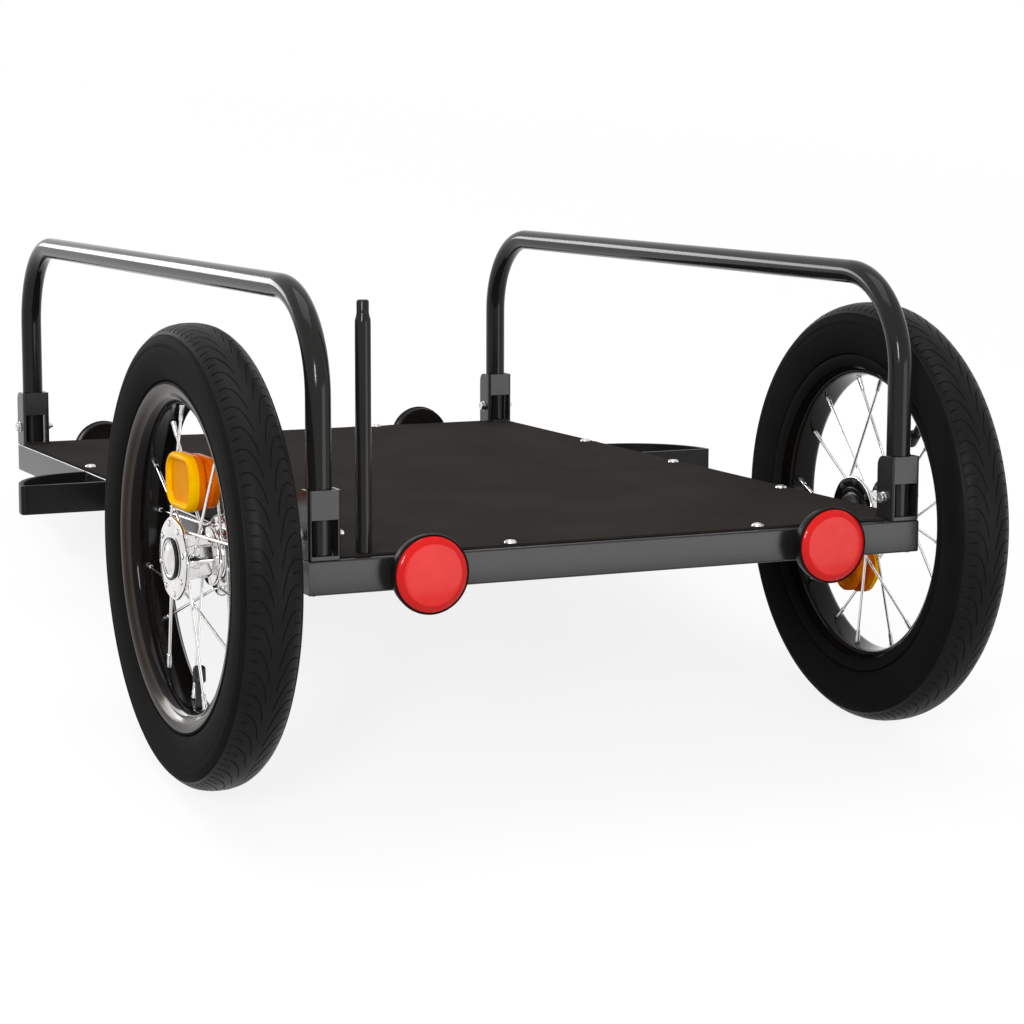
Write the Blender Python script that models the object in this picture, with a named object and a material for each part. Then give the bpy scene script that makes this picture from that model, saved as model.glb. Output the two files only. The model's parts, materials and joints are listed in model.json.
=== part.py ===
"""Flat-bed bicycle cargo trailer: welded square-tube frame, cloth deck, two side hoops, two spoked wheels.

Everything is modelled level, in metres: +X to the right, +Y forward, +Z up, with Y = 0 at the frame's rear
face and Z = 0 at the top of its rails. The last step lays the trailer down on its nose, as it parks.
"""

import math

import bmesh
import bpy
from mathutils import Matrix, Vector

# Frame
GAP = 0.0003
FRAME_WIDTH = 0.51
FRAME_LENGTH = 0.779
RAIL = 0.025
RAIL_WALL = 0.0015
RAIL_CORNER = 0.002
MID_BEAM_Y = 0.355
SOCKET_BEAM_FROM_FRONT = 0.19

# Deck cloth
DECK_THICKNESS = 0.002
DECK_END_INSET = 0.0075
DECK_SIDE_INSET = 0.002
DECK_NOTCH_CLEARANCE = 0.0015

# Side hoops and the brackets that hold their feet
HOOP_DIAMETER = 0.019
HOOP_WALL = 0.0015
HOOP_HEIGHT = 0.19
HOOP_BEND = 0.075
HOOP_SIDES = 10
HOOP_BEND_STEPS = 6
BRACKET_PLATE = 0.0022
BRACKET_HEIGHT = 0.05
BRACKET_CORNER = 0.008
BRACKET_CORNER_STEPS = 6
BRACKET_FOOT_CLEARANCE = 0.0005
BRACKET_WINDOW_HEIGHT = 0.026
BRACKET_BASE = 0.0025
BRACKET_SIDE_LIP = 0.0003
BRACKET_WINDOW_LIP = 0.0003

# Flag post
POST_X = -0.208
POST_DIAMETER = 0.0116
POST_TIP_DIAMETER = 0.009
POST_HEIGHT = 0.181
POST_TIP_LENGTH = 0.014
POST_TIP_ROUND = 0.0012

# Wheel guards
GUARD_Y = 0.477
GUARD_REACH = 0.078
GUARD_BAR = 0.004
GUARD_HEIGHT = 0.025
GUARD_ARC_STEPS = 12

# Drawbar socket
SOCKET_SIZE = 0.03
SOCKET_WALL = 0.002
SOCKET_LENGTH = 0.2
SOCKET_PIN_HOLE = 0.008
SOCKET_PIN_FROM_FRONT = 0.025

# Round reflectors
REFLECTOR_X = 0.167
REFLECTOR_DIAMETER = 0.0588
REFLECTOR_DEPTH = 0.016
REFLECTOR_BOSS_DIAMETER = 0.02
REFLECTOR_BOSS_LENGTH = 0.004
REFLECTOR_BEZEL = 0.0022
REFLECTOR_RECESS = 0.0045
LENS_DOME = 0.003
LENS_BEVEL = 0.0045
REFLECTOR_STEPS = 20

# Wheels
WHEEL_X = 0.294
WHEEL_Y = 0.129
TYRE_HEIGHT = 0.043
TYRE_WIDTH = 0.047
WHEEL_STEPS = 40
RIM_RADIUS = 0.131
RIM_WIDTH = 0.039
RIM_DEPTH = 0.017
RIM_LIP = 0.002
BEAD_DEPTH = 0.0055
LEFT_WHEEL_TURN = 0.0
RIGHT_WHEEL_TURN = -139.0

# Hubs, spokes and axles
AXLE_DIAMETER = 0.012
AXLE_CLEARANCE = 0.0006
AXLE_COLLAR_DIAMETER = 0.02
AXLE_NUT_ACROSS = 0.0185
AXLE_NUT_LENGTH = 0.007
AXLE_DOME_DIAMETER = 0.0244
AXLE_DOME_HEIGHT = 0.0024
AXLE_DOME_STEPS = 3
AXLE_STEPS = 14
HUB_FLANGE_DIAMETER = 0.062
HUB_FLANGE_OFFSET = 0.018
HUB_FLANGE_THICKNESS = 0.004
HUB_HALF_LENGTH = 0.0206
HUB_BODY_DIAMETER = 0.031
HUB_DRUM_DIAMETER = 0.044
HUB_DRUM_START = 0.0085
HUB_DRUM_END = 0.0125
HUB_DRUM_EDGE = 0.0014
HUB_STEPS = 16
SPOKE_COUNT = 16
SPOKE_DIAMETER = 0.0023
SPOKE_CIRCLE = 0.0525
SPOKE_ELBOW_NEAR = 0.0014
SPOKE_ELBOW_FAR = 0.0046
SPOKE_HEAD_DIAMETER = 0.0046
SPOKE_HEAD_HEIGHT = 0.0012
SPOKE_SIDES = 4
NIPPLE_DIAMETER = 0.0042
NIPPLE_LENGTH = 0.012
NIPPLE_OFFSET = 0.003
DUST_CAP_DIAMETER = 0.032
DUST_CAP_LENGTH = 0.0018
DUST_CAP_EDGE = 0.0006
DUST_CAP_BORE = 0.0256

# Valve and spoke reflector
VALVE_ANGLE = -90.0
VALVE_DIAMETER = 0.0078
VALVE_NECK_DIAMETER = 0.0062
VALVE_LENGTH = 0.031
VALVE_CAP_DIAMETER = 0.0098
VALVE_CAP_LENGTH = 0.012
VALVE_CAP_EDGE = 0.0012
SPOKE_REFLECTOR_ANGLE = 90.0
SPOKE_REFLECTOR_RADIUS = 0.057
SPOKE_REFLECTOR_WIDTH = 0.064
SPOKE_REFLECTOR_HEIGHT = 0.042
SPOKE_REFLECTOR_OUTER_FACE = 0.015
SPOKE_REFLECTOR_OUTER_BACK = 0.0035
SPOKE_REFLECTOR_INNER_BACK = -0.002
SPOKE_REFLECTOR_INNER_FACE = -0.009
SPOKE_REFLECTOR_INNER_INSET = 0.002
SPOKE_REFLECTOR_EDGE = 0.002
SPOKE_REFLECTOR_CORNER = 0.018
SPOKE_REFLECTOR_WAIST = 0.005
SPOKE_REFLECTOR_CLEARANCE = 0.0005

# Derived, and how the meshes are closed
HALF_WIDTH = FRAME_WIDTH / 2
RAIL_MIDDLE = RAIL / 2
AXLE_Z = -RAIL_MIDDLE
HOOP_X = HALF_WIDTH - RAIL_MIDDLE
BRACKET_DEPTH = BRACKET_PLATE + HOOP_DIAMETER + 2 * BRACKET_FOOT_CLEARANCE
HOOP_FOOT_Z = BRACKET_BASE + 2 * GAP
WHEEL_RADIUS = RIM_RADIUS + TYRE_HEIGHT
MERGE_DISTANCE = 1e-7
SHARP_EDGE_DEGREES = 35


def clear_scene():
    for found in list(bpy.data.objects):
        bpy.data.objects.remove(found, do_unlink=True)


def make_material(name, colour, roughness, metallic=0.0):
    made = bpy.data.materials.new(name)
    made.use_nodes = True
    shader = made.node_tree.nodes["Principled BSDF"]
    shader.inputs["Base Color"].default_value = (*colour, 1.0)
    shader.inputs["Roughness"].default_value = roughness
    shader.inputs["Metallic"].default_value = metallic
    made.diffuse_color = (*colour, 1.0)
    return made


def make_object(name, bm, material, parent):
    """Closes the bmesh off as a named object, with its faces pointing out."""
    bmesh.ops.remove_doubles(bm, verts=bm.verts, dist=MERGE_DISTANCE)
    bmesh.ops.recalc_face_normals(bm, faces=bm.faces)
    if bm.calc_volume(signed=True) < 0:
        bmesh.ops.reverse_faces(bm, faces=bm.faces)
    mesh = bpy.data.meshes.new(name)
    bm.to_mesh(mesh)
    bm.free()
    mesh.shade_smooth()
    mesh.set_sharp_from_angle(angle=math.radians(SHARP_EDGE_DEGREES))
    mesh.materials.append(material)
    made = bpy.data.objects.new(name, mesh)
    bpy.context.scene.collection.objects.link(made)
    made.parent = parent
    return made


def cut(target, cutter, operation="DIFFERENCE"):
    """Adds a Boolean to the target. The cutter stays in the scene as a hidden wire."""
    cutter.hide_render = True
    cutter.display_type = "WIRE"
    step = target.modifiers.new(cutter.name, "BOOLEAN")
    step.operation = operation
    step.solver = "EXACT"
    step.object = cutter


def add_rings(bm, rings, wrap):
    """Joins rings of equal length by quads. Without wrap, the first and the last ring are capped."""
    loops = [[bm.verts.new(point) for point in ring] for ring in rings]
    pairs = list(zip(loops, loops[1:]))
    if wrap:
        pairs.append((loops[-1], loops[0]))
    for first, second in pairs:
        for i in range(len(first)):
            j = (i + 1) % len(first)
            bm.faces.new((first[i], first[j], second[j], second[i]))
    if not wrap:
        bm.faces.new(loops[0])
        bm.faces.new(loops[-1])


def rounded_square(size, corner, steps=2):
    """Points round a square of this size, its corners rounded, anticlockwise."""
    points = []
    for quarter in range(4):
        centre = Vector((size / 2 - corner, 0)), Vector((0, size / 2 - corner))
        start = math.pi / 2 * quarter
        sign_u = 1 if quarter in (0, 3) else -1
        sign_v = 1 if quarter in (0, 1) else -1
        for step in range(steps + 1):
            turn = start + math.pi / 2 * step / steps
            u = sign_u * centre[0].x + corner * math.cos(turn)
            v = sign_v * centre[1].y + corner * math.sin(turn)
            points.append((u, v))
    return points


def square_tube(bm, size, wall, corner, place):
    """A hollow square tube. place(u, v, end) gives the point of the section (u, v) at end 0 or 1."""
    outer = rounded_square(size, corner)
    inner = rounded_square(size - 2 * wall, max(corner - wall, wall / 4))
    ends = ((outer, 0), (outer, 1), (inner, 1), (inner, 0))
    add_rings(bm, [[place(u, v, end) for u, v in section] for section, end in ends], wrap=True)


def revolve(bm, profile, steps, place, start=0.0):
    """Turns (along, radius) points about an axis. place(along, radius, angle) gives a point.

    A profile that starts and ends at radius 0 makes a solid piece, and any other is closed into a ring.
    """
    solid = profile[0][1] == 0
    columns = []
    for along, radius in profile:
        if radius == 0:
            columns.append([bm.verts.new(place(along, 0.0, 0.0))] * steps)
        else:
            angles = [start + 2 * math.pi * i / steps for i in range(steps)]
            columns.append([bm.verts.new(place(along, radius, angle)) for angle in angles])
    pairs = list(zip(columns, columns[1:]))
    if not solid:
        pairs.append((columns[-1], columns[0]))
    for first, second in pairs:
        for i in range(steps):
            j = (i + 1) % steps
            corners = []
            for corner in (first[i], first[j], second[j], second[i]):
                if corner not in corners:
                    corners.append(corner)
            bm.faces.new(corners)


def about_x(x, side=1, y=0.0, z=0.0):
    """Places a turned profile on an axis along X, counted outwards from x on that side."""

    def place(along, radius, angle):
        return (x + side * along, y + radius * math.cos(angle), z + radius * math.sin(angle))

    return place


def about_y(x, y, z, side=1):
    def place(along, radius, angle):
        return (x + radius * math.cos(angle), y + side * along, z + radius * math.sin(angle))

    return place


def about_z(x, y, z):
    def place(along, radius, angle):
        return (x + radius * math.cos(angle), y + radius * math.sin(angle), z + along)

    return place


def sweep(bm, path, radii, sides, end_normal=None):
    """A solid round bar along a bent path, with its own radius at each point.

    With end_normal, its last face is cut square to that direction.
    """
    rings = []
    for i, (point, radius) in enumerate(zip(path, radii)):
        before = (point - path[i - 1]).normalized() if i else Vector()
        after = (path[i + 1] - point).normalized() if i + 1 < len(path) else Vector()
        along = (before + after).normalized()
        across = along.orthogonal() if i == 0 else (across - across.dot(along) * along)
        across.normalize()
        third = along.cross(across)
        turns = [2 * math.pi * k / sides for k in range(sides)]
        rings.append([point + radius * (math.cos(t) * across + math.sin(t) * third) for t in turns])
    if end_normal:
        for k, corner in enumerate(rings[-1]):
            travel = (path[-1] - corner).dot(end_normal) / along.dot(end_normal)
            rings[-1][k] = corner + travel * along
    add_rings(bm, rings, wrap=False)


def cross_tube(name, y, half_length, mitred, material, parent):
    """A frame tube along X centred on y. Its mitred ends meet those of the side rails."""
    bm = bmesh.new()

    def place(u, v, end):
        cut_back = abs(u + mitred * RAIL_MIDDLE) + GAP / 2 if mitred else 0.0
        x = (2 * end - 1) * (half_length - cut_back)
        return (x, y + u, v - RAIL_MIDDLE)

    square_tube(bm, RAIL, RAIL_WALL, RAIL_CORNER, place)
    return make_object(name, bm, material, parent)


def side_rail(name, side, material, parent):
    """A frame tube along Y, mitred at both ends and drilled for the axle."""
    bm = bmesh.new()

    def place(u, v, end):
        from_outside = RAIL_MIDDLE - u + GAP / 2
        y = from_outside if end == 0 else FRAME_LENGTH - from_outside
        return (side * (HOOP_X + u), y, v - RAIL_MIDDLE)

    square_tube(bm, RAIL, RAIL_WALL, RAIL_CORNER, place)
    rail = make_object(name, bm, material, parent)
    drill = bmesh.new()
    radius = AXLE_DIAMETER / 2 + GAP
    ends = [(-RAIL, 0), (-RAIL, radius), (RAIL, radius), (RAIL, 0)]
    revolve(drill, ends, HUB_STEPS, about_x(side * HOOP_X, side, WHEEL_Y, AXLE_Z))
    cut(rail, make_object(name + "_axle_drill", drill, material, parent))
    return rail


def build_frame(steel, parent):
    cross_tube("crossmember_rear", RAIL_MIDDLE, HALF_WIDTH, 1, steel, parent)
    cross_tube("crossmember_front", FRAME_LENGTH - RAIL_MIDDLE, HALF_WIDTH, -1, steel, parent)
    side_rail("rail_left", -1, steel, parent)
    side_rail("rail_right", 1, steel, parent)
    inside = HALF_WIDTH - RAIL - GAP
    cross_tube("crossmember_axle", WHEEL_Y, inside, 0, steel, parent)
    cross_tube("crossmember_middle", MID_BEAM_Y, inside, 0, steel, parent)
    cross_tube("crossmember_socket", FRAME_LENGTH - SOCKET_BEAM_FROM_FRONT, inside, 0, steel, parent)


def build_socket(steel, parent):
    """The square receiver for a drawbar, welded under the two front crossmembers."""
    bm = bmesh.new()
    top = -RAIL - GAP

    def place(u, v, end):
        return (u, FRAME_LENGTH - SOCKET_LENGTH * (1 - end), top - SOCKET_SIZE / 2 + v)

    square_tube(bm, SOCKET_SIZE, SOCKET_WALL, RAIL_CORNER, place)
    socket = make_object("drawbar_socket", bm, steel, parent)
    drill = bmesh.new()
    radius = SOCKET_PIN_HOLE / 2
    ends = [(-SOCKET_SIZE, 0), (-SOCKET_SIZE, radius), (SOCKET_SIZE, radius), (SOCKET_SIZE, 0)]
    pin_y = FRAME_LENGTH - SOCKET_PIN_FROM_FRONT
    revolve(drill, ends, HUB_STEPS, about_x(0.0, 1, pin_y, top - SOCKET_SIZE / 2))
    cut(socket, make_object("drawbar_socket_pin_drill", drill, steel, parent))


def build_deck(cloth, parent):
    """The stretched cloth, its four corners cut away round the hoop brackets."""
    x = HALF_WIDTH - DECK_SIDE_INSET
    notch_x = HALF_WIDTH - RAIL - DECK_NOTCH_CLEARANCE
    notch = BRACKET_DEPTH + DECK_NOTCH_CLEARANCE
    front, rear = FRAME_LENGTH - DECK_END_INSET, DECK_END_INSET
    right = [(notch_x, rear), (notch_x, notch), (x, notch)]
    right += [(x, FRAME_LENGTH - notch), (notch_x, FRAME_LENGTH - notch), (notch_x, front)]
    outline = right + [(-px, py) for px, py in reversed(right)]
    bm = bmesh.new()
    levels = (GAP, GAP + DECK_THICKNESS)
    add_rings(bm, [[(px, py, z) for px, py in outline] for z in levels], wrap=False)
    make_object("deck", bm, cloth, parent)


def bracket_side_outline():
    """The side plate's outline in (Y, Z): its upper front corner is rounded."""
    points = [(0.0, 0.0), (BRACKET_DEPTH, 0.0)]
    for step in range(BRACKET_CORNER_STEPS + 1):
        turn = math.pi / 2 * step / BRACKET_CORNER_STEPS
        y = BRACKET_DEPTH - BRACKET_CORNER * (1 - math.cos(turn))
        points.append((y, BRACKET_HEIGHT - BRACKET_CORNER * (1 - math.sin(turn))))
    points.append((0.0, BRACKET_HEIGHT))
    return points


def build_bracket(name, side, rear_y, steel, parent):
    """A folded channel with a base plate, open to the front. Its web is cut away behind the hoop's foot."""
    bm = bmesh.new()
    x = side * HOOP_X
    outline = bracket_side_outline()
    faces = [[(x + end * RAIL_MIDDLE, rear_y + y, GAP + z) for y, z in outline] for end in (-1, 1)]
    add_rings(bm, faces, wrap=False)
    bracket = make_object(name, bm, steel, parent)
    inside = RAIL_MIDDLE - BRACKET_PLATE
    floor = GAP + BRACKET_BASE
    channel_y = (rear_y + BRACKET_PLATE, rear_y + 2 * BRACKET_DEPTH)
    channel = box(inside, channel_y, (floor, 2 * BRACKET_HEIGHT), x)
    cut(bracket, make_object(name + "_channel", channel, steel, parent))
    window_floor = floor + BRACKET_WINDOW_LIP
    window = box(
        inside - BRACKET_SIDE_LIP,
        (rear_y - RAIL, rear_y + BRACKET_DEPTH),
        (window_floor, window_floor + BRACKET_WINDOW_HEIGHT),
        x,
    )
    cut(bracket, make_object(name + "_window", window, steel, parent))


def box(half_width, y_range, z_range, x):
    """A plain box as a bmesh, for cutting."""
    bm = bmesh.new()
    corners = [(x - half_width, y_range[0]), (x + half_width, y_range[0])]
    corners += [(x + half_width, y_range[1]), (x - half_width, y_range[1])]
    add_rings(bm, [[(cx, cy, z) for cx, cy in corners] for z in z_range], wrap=False)
    return bm


def hoop_path(foot_inset):
    """Centre line of a hoop in (Y, Z), from the rear foot to the front one."""
    rear, front = foot_inset, FRAME_LENGTH - BRACKET_DEPTH + foot_inset
    bend_z = HOOP_HEIGHT - HOOP_BEND
    points = [(rear, HOOP_FOOT_Z)]
    for step in range(HOOP_BEND_STEPS + 1):
        turn = math.pi / 2 * step / HOOP_BEND_STEPS
        points.append((rear + HOOP_BEND * (1 - math.cos(turn)), bend_z + HOOP_BEND * math.sin(turn)))
    for step in range(HOOP_BEND_STEPS + 1):
        turn = math.pi / 2 * step / HOOP_BEND_STEPS
        points.append((front - HOOP_BEND * (1 - math.sin(turn)), bend_z + HOOP_BEND * math.cos(turn)))
    points.append((front, HOOP_FOOT_Z))
    return points


def build_hoop(name, side, steel, parent):
    """A bent tube with open feet: one outer and one inner skin, joined at the feet."""
    foot_y = BRACKET_PLATE + BRACKET_FOOT_CLEARANCE + HOOP_DIAMETER / 2
    path = hoop_path(foot_y)
    bm = bmesh.new()
    rings = []
    for radius, order in ((HOOP_DIAMETER / 2, 1), (HOOP_DIAMETER / 2 - HOOP_WALL, -1)):
        skin = []
        for i, (y, z) in enumerate(path):
            before = path[max(i - 1, 0)]
            after = path[min(i + 1, len(path) - 1)]
            along = Vector((after[0] - before[0], after[1] - before[1])).normalized()
            ring = []
            for k in range(HOOP_SIDES):
                turn = 2 * math.pi * k / HOOP_SIDES
                out = radius * math.cos(turn)
                ring.append((side * HOOP_X + radius * math.sin(turn), y - out * along.y, z + out * along.x))
            skin.append(ring)
        rings += skin[::order]
    add_rings(bm, rings, wrap=True)
    make_object(name, bm, steel, parent)


def build_post(steel, parent):
    """The upright that carries a safety flag, standing on the deck above the rear crossmember."""
    radius, tip = POST_DIAMETER / 2, POST_TIP_DIAMETER / 2
    shoulder = POST_HEIGHT - POST_TIP_LENGTH
    profile = [(0, 0), (0, radius), (shoulder, radius), (POST_HEIGHT - POST_TIP_ROUND, tip)]
    profile += [(POST_HEIGHT, tip - POST_TIP_ROUND), (POST_HEIGHT, 0)]
    bm = bmesh.new()
    base = 2 * GAP + DECK_THICKNESS
    revolve(bm, profile, HUB_STEPS, about_z(POST_X, RAIL_MIDDLE, base))
    make_object("flag_post", bm, steel, parent)


def build_guard(name, side, steel, parent):
    """A flat bar bent to a quarter circle and a straight leg, its two ends welded to the side rail."""
    start_x = HALF_WIDTH + GAP
    outer = [(start_x, GUARD_Y), (start_x + GUARD_REACH, GUARD_Y)]
    inner_reach = GUARD_REACH - GUARD_BAR
    inner_start = math.asin(GUARD_BAR / inner_reach)
    inner = [(start_x, GUARD_Y + GUARD_BAR)]
    for step in range(GUARD_ARC_STEPS + 1):
        share = step / GUARD_ARC_STEPS
        turn = math.pi / 2 * share
        if step:
            outer.append((start_x + GUARD_REACH * math.cos(turn), GUARD_Y + GUARD_REACH * math.sin(turn)))
        turn = inner_start + (math.pi / 2 - inner_start) * share
        inner.append((start_x + inner_reach * math.cos(turn), GUARD_Y + inner_reach * math.sin(turn)))
    outline = outer + inner[::-1]
    bm = bmesh.new()
    rings = [[(side * x, y, z) for x, y in outline] for z in (-GUARD_HEIGHT, 0.0)]
    add_rings(bm, rings, wrap=False)
    make_object(name, bm, steel, parent)


def build_reflector(name, x, y, facing, housing_material, lens_material, parent):
    """A round reflector on a boss: a cup with a thin bezel, and the lens that fills it."""
    radius = REFLECTOR_DIAMETER / 2
    depth, boss = REFLECTOR_DEPTH, REFLECTOR_BOSS_LENGTH
    floor = depth - REFLECTOR_RECESS
    bezel = radius - REFLECTOR_BEZEL
    cup = [(0, 0), (0, REFLECTOR_BOSS_DIAMETER / 2), (boss, REFLECTOR_BOSS_DIAMETER / 2)]
    cup += [(boss, bezel), (boss + REFLECTOR_BEZEL, radius), (depth, radius)]
    cup += [(depth, bezel), (floor, bezel), (floor, 0)]
    place = about_y(x, y + facing * GAP, AXLE_Z, facing)
    bm = bmesh.new()
    revolve(bm, cup, REFLECTOR_STEPS, place)
    make_object(name + "_housing", bm, housing_material, parent)
    edge = bezel - GAP
    lens = [(floor + GAP, 0), (floor + GAP, edge), (depth, edge)]
    lens += [(depth + LENS_DOME, edge - LENS_BEVEL), (depth + LENS_DOME, 0)]
    bm = bmesh.new()
    revolve(bm, lens, REFLECTOR_STEPS, place)
    make_object(name + "_lens", bm, lens_material, parent)


def build_axle(name, side, chrome, parent):
    """A stub axle through the side rail: nut inside, collar outside, and a domed end beyond the hub."""
    radius = AXLE_DIAMETER / 2
    rail_outer = -(WHEEL_X - HALF_WIDTH) + GAP
    rail_inner = rail_outer - RAIL - 2 * GAP
    collar = AXLE_COLLAR_DIAMETER / 2
    hub_end = HUB_HALF_LENGTH + DUST_CAP_LENGTH
    nut = AXLE_NUT_ACROSS / 2
    dome = AXLE_DOME_DIAMETER / 2
    profile = [(rail_inner - AXLE_NUT_LENGTH, 0), (rail_inner - AXLE_NUT_LENGTH, nut), (rail_inner, nut)]
    profile += [(rail_inner, radius), (rail_outer, radius), (rail_outer, collar)]
    profile += [(-hub_end - AXLE_CLEARANCE, collar), (-hub_end - AXLE_CLEARANCE, radius)]
    dome_start = HUB_HALF_LENGTH + AXLE_CLEARANCE
    profile += [(dome_start, radius), (dome_start, dome)]
    rim_of_dome = dome_start + DUST_CAP_LENGTH - AXLE_CLEARANCE
    for step in range(AXLE_DOME_STEPS):
        turn = math.pi / 2 * step / AXLE_DOME_STEPS
        profile.append((rim_of_dome + AXLE_DOME_HEIGHT * math.sin(turn), dome * math.cos(turn)))
    profile.append((rim_of_dome + AXLE_DOME_HEIGHT, 0))
    bm = bmesh.new()
    revolve(bm, profile, AXLE_STEPS, about_x(side * WHEEL_X, side, WHEEL_Y, AXLE_Z))
    make_object(name, bm, chrome, parent)


def tyre_profile():
    """Half of the tyre's section, from the bead to the crown, as (half width, radius)."""
    bead_x = RIM_WIDTH / 2 - RIM_LIP - GAP
    bead_r = RIM_RADIUS - BEAD_DEPTH + GAP
    height, wide = TYRE_HEIGHT, TYRE_WIDTH / 2
    return [
        (bead_x, bead_r),
        (bead_x, RIM_RADIUS + GAP),
        (RIM_WIDTH / 2, RIM_RADIUS + 0.06 * height),
        (0.95 * wide, RIM_RADIUS + 0.25 * height),
        (wide, RIM_RADIUS + 0.46 * height),
        (0.94 * wide, RIM_RADIUS + 0.7 * height),
        (0.72 * wide, RIM_RADIUS + 0.89 * height),
        (0.3 * wide, WHEEL_RADIUS),
    ]


def build_tyre(name, place, rubber, parent):
    half = tyre_profile()
    profile = half + [(-x, r) for x, r in reversed(half)]
    bm = bmesh.new()
    revolve(bm, profile, WHEEL_STEPS, place)
    make_object(name, bm, rubber, parent)


def build_rim(name, place, alloy, parent):
    """A wide rim with lips over the tyre's beads and a deep rounded spoke bed."""
    wide, lip = RIM_WIDTH / 2, RIM_LIP
    seat = RIM_RADIUS - BEAD_DEPTH
    bed = RIM_RADIUS - RIM_DEPTH
    half = [(wide - lip, seat), (wide - lip, RIM_RADIUS), (wide, RIM_RADIUS - lip / 2)]
    half += [(wide - lip / 4, seat - lip), (0.72 * wide, bed + 0.2 * RIM_DEPTH), (0.34 * wide, bed)]
    profile = half + [(-x, r) for x, r in reversed(half)]
    bm = bmesh.new()
    revolve(bm, profile, WHEEL_STEPS, place)
    make_object(name, bm, alloy, parent)


def spoke_path(index, local):
    """Path, radii and end direction of one spoke, from its head outside the flange to its nipple at the rim.

    Each spoke crosses one other of its flange, and the two leave the flange at different reach.
    """
    pitch = 2 * math.pi / SPOKE_COUNT
    flange = 1 if index % 2 else -1
    pull = 1 if (index // 2) % 2 else -1
    rim_angle = (index + 0.5) * pitch
    hub_angle = rim_angle - pull * 2 * pitch
    middle = HUB_FLANGE_OFFSET
    half = HUB_FLANGE_THICKNESS / 2
    reach = SPOKE_ELBOW_NEAR if pull > 0 else SPOKE_ELBOW_FAR
    circle = SPOKE_CIRCLE / 2
    head = local(flange * (middle + half + SPOKE_HEAD_HEIGHT), circle, hub_angle)
    face = local(flange * (middle + half - GAP), circle, hub_angle)
    elbow = local(flange * (middle - half - reach), circle, hub_angle)
    bed = RIM_RADIUS - RIM_DEPTH - 2 * GAP
    nipple_end = local(flange * NIPPLE_OFFSET, bed, rim_angle)
    outward = Vector(nipple_end) - Vector(local(flange * NIPPLE_OFFSET, 0.0, rim_angle))
    head, face, elbow, nipple_end = map(Vector, (head, face, elbow, nipple_end))
    along = (nipple_end - elbow).normalized()
    nipple_start = nipple_end - NIPPLE_LENGTH * along
    wire, nipple, head_r = SPOKE_DIAMETER / 2, NIPPLE_DIAMETER / 2, SPOKE_HEAD_DIAMETER / 2
    path = [head, face, elbow, nipple_start, nipple_start + nipple * along, nipple_end]
    radii = [head_r, head_r, wire, wire, nipple, nipple]
    return path, radii, outward.normalized()


def hub_profile():
    """The hub shell from its outer end face to its inner one: two flanges, a body and a drum between them."""
    bore = AXLE_DIAMETER / 2 + AXLE_CLEARANCE
    flange, body, drum = HUB_FLANGE_DIAMETER / 2, HUB_BODY_DIAMETER / 2, HUB_DRUM_DIAMETER / 2
    half, offset = HUB_FLANGE_THICKNESS / 2, HUB_FLANGE_OFFSET
    end = HUB_HALF_LENGTH
    nose = DUST_CAP_DIAMETER / 2
    outer = [(end, bore), (end, nose), (offset + half, nose + half), (offset + half, flange - half / 2)]
    outer += [(offset + half / 2, flange), (offset - half / 2, flange), (offset - half, flange - half / 2)]
    outer += [(offset - half, nose + half), (offset - 3 * half, body)]
    inner = [(-x, r) for x, r in reversed(outer[:-1])]
    waist = [(-HUB_DRUM_START + HUB_DRUM_EDGE, body), (-HUB_DRUM_START, drum), (-HUB_DRUM_END, drum)]
    waist.append((-HUB_DRUM_END - HUB_DRUM_EDGE, nose + half))
    return outer + waist + inner


def build_hub(name, place, chrome, parent):
    """The laced hub: shell, flanges and spokes are one piece, as they leave the wheel stand."""
    bm = bmesh.new()
    revolve(bm, hub_profile(), HUB_STEPS, place)
    hub = make_object(name, bm, chrome, parent)
    bm = bmesh.new()
    for index in range(SPOKE_COUNT):
        path, radii, outward = spoke_path(index, place)
        sweep(bm, path, radii, SPOKE_SIDES, outward)
    cut(hub, make_object(name + "_spokes", bm, chrome, parent), "UNION")
    return hub


def build_dust_cap(name, place, direction, rubber, parent):
    bore = DUST_CAP_BORE / 2 if direction > 0 else AXLE_DIAMETER / 2 + AXLE_CLEARANCE
    radius, length = DUST_CAP_DIAMETER / 2, DUST_CAP_LENGTH
    start = HUB_HALF_LENGTH + GAP
    profile = [(start, bore), (start, radius), (start + length - DUST_CAP_EDGE, radius)]
    profile += [(start + length, radius - DUST_CAP_EDGE), (start + length, bore)]
    bm = bmesh.new()
    revolve(bm, [(direction * x, r) for x, r in profile], HUB_STEPS, place)
    make_object(name, bm, rubber, parent)


def radial_place(place, angle_degrees, out):
    """Places a turned profile on a line that runs inwards from radius out at this angle of the wheel."""
    angle = math.radians(angle_degrees)

    def put(along, radius, turn):
        r, side = out - along, radius * math.cos(turn)
        return place(radius * math.sin(turn), math.hypot(r, side), angle + math.atan2(side, r))

    return put


def build_valve(name, place, rubber, parent):
    stem, cap = VALVE_DIAMETER / 2, VALVE_CAP_DIAMETER / 2
    length, cap_start = VALVE_LENGTH, VALVE_LENGTH - VALVE_CAP_LENGTH
    profile = [(0, 0), (0, stem), (cap_start, VALVE_NECK_DIAMETER / 2), (cap_start, cap)]
    profile += [(length - VALVE_CAP_EDGE, cap), (length, cap - VALVE_CAP_EDGE), (length, 0)]
    bm = bmesh.new()
    out = RIM_RADIUS - RIM_DEPTH - 2 * GAP
    revolve(bm, profile, HUB_STEPS // 2, radial_place(place, VALVE_ANGLE, out))
    make_object(name, bm, rubber, parent)


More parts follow.
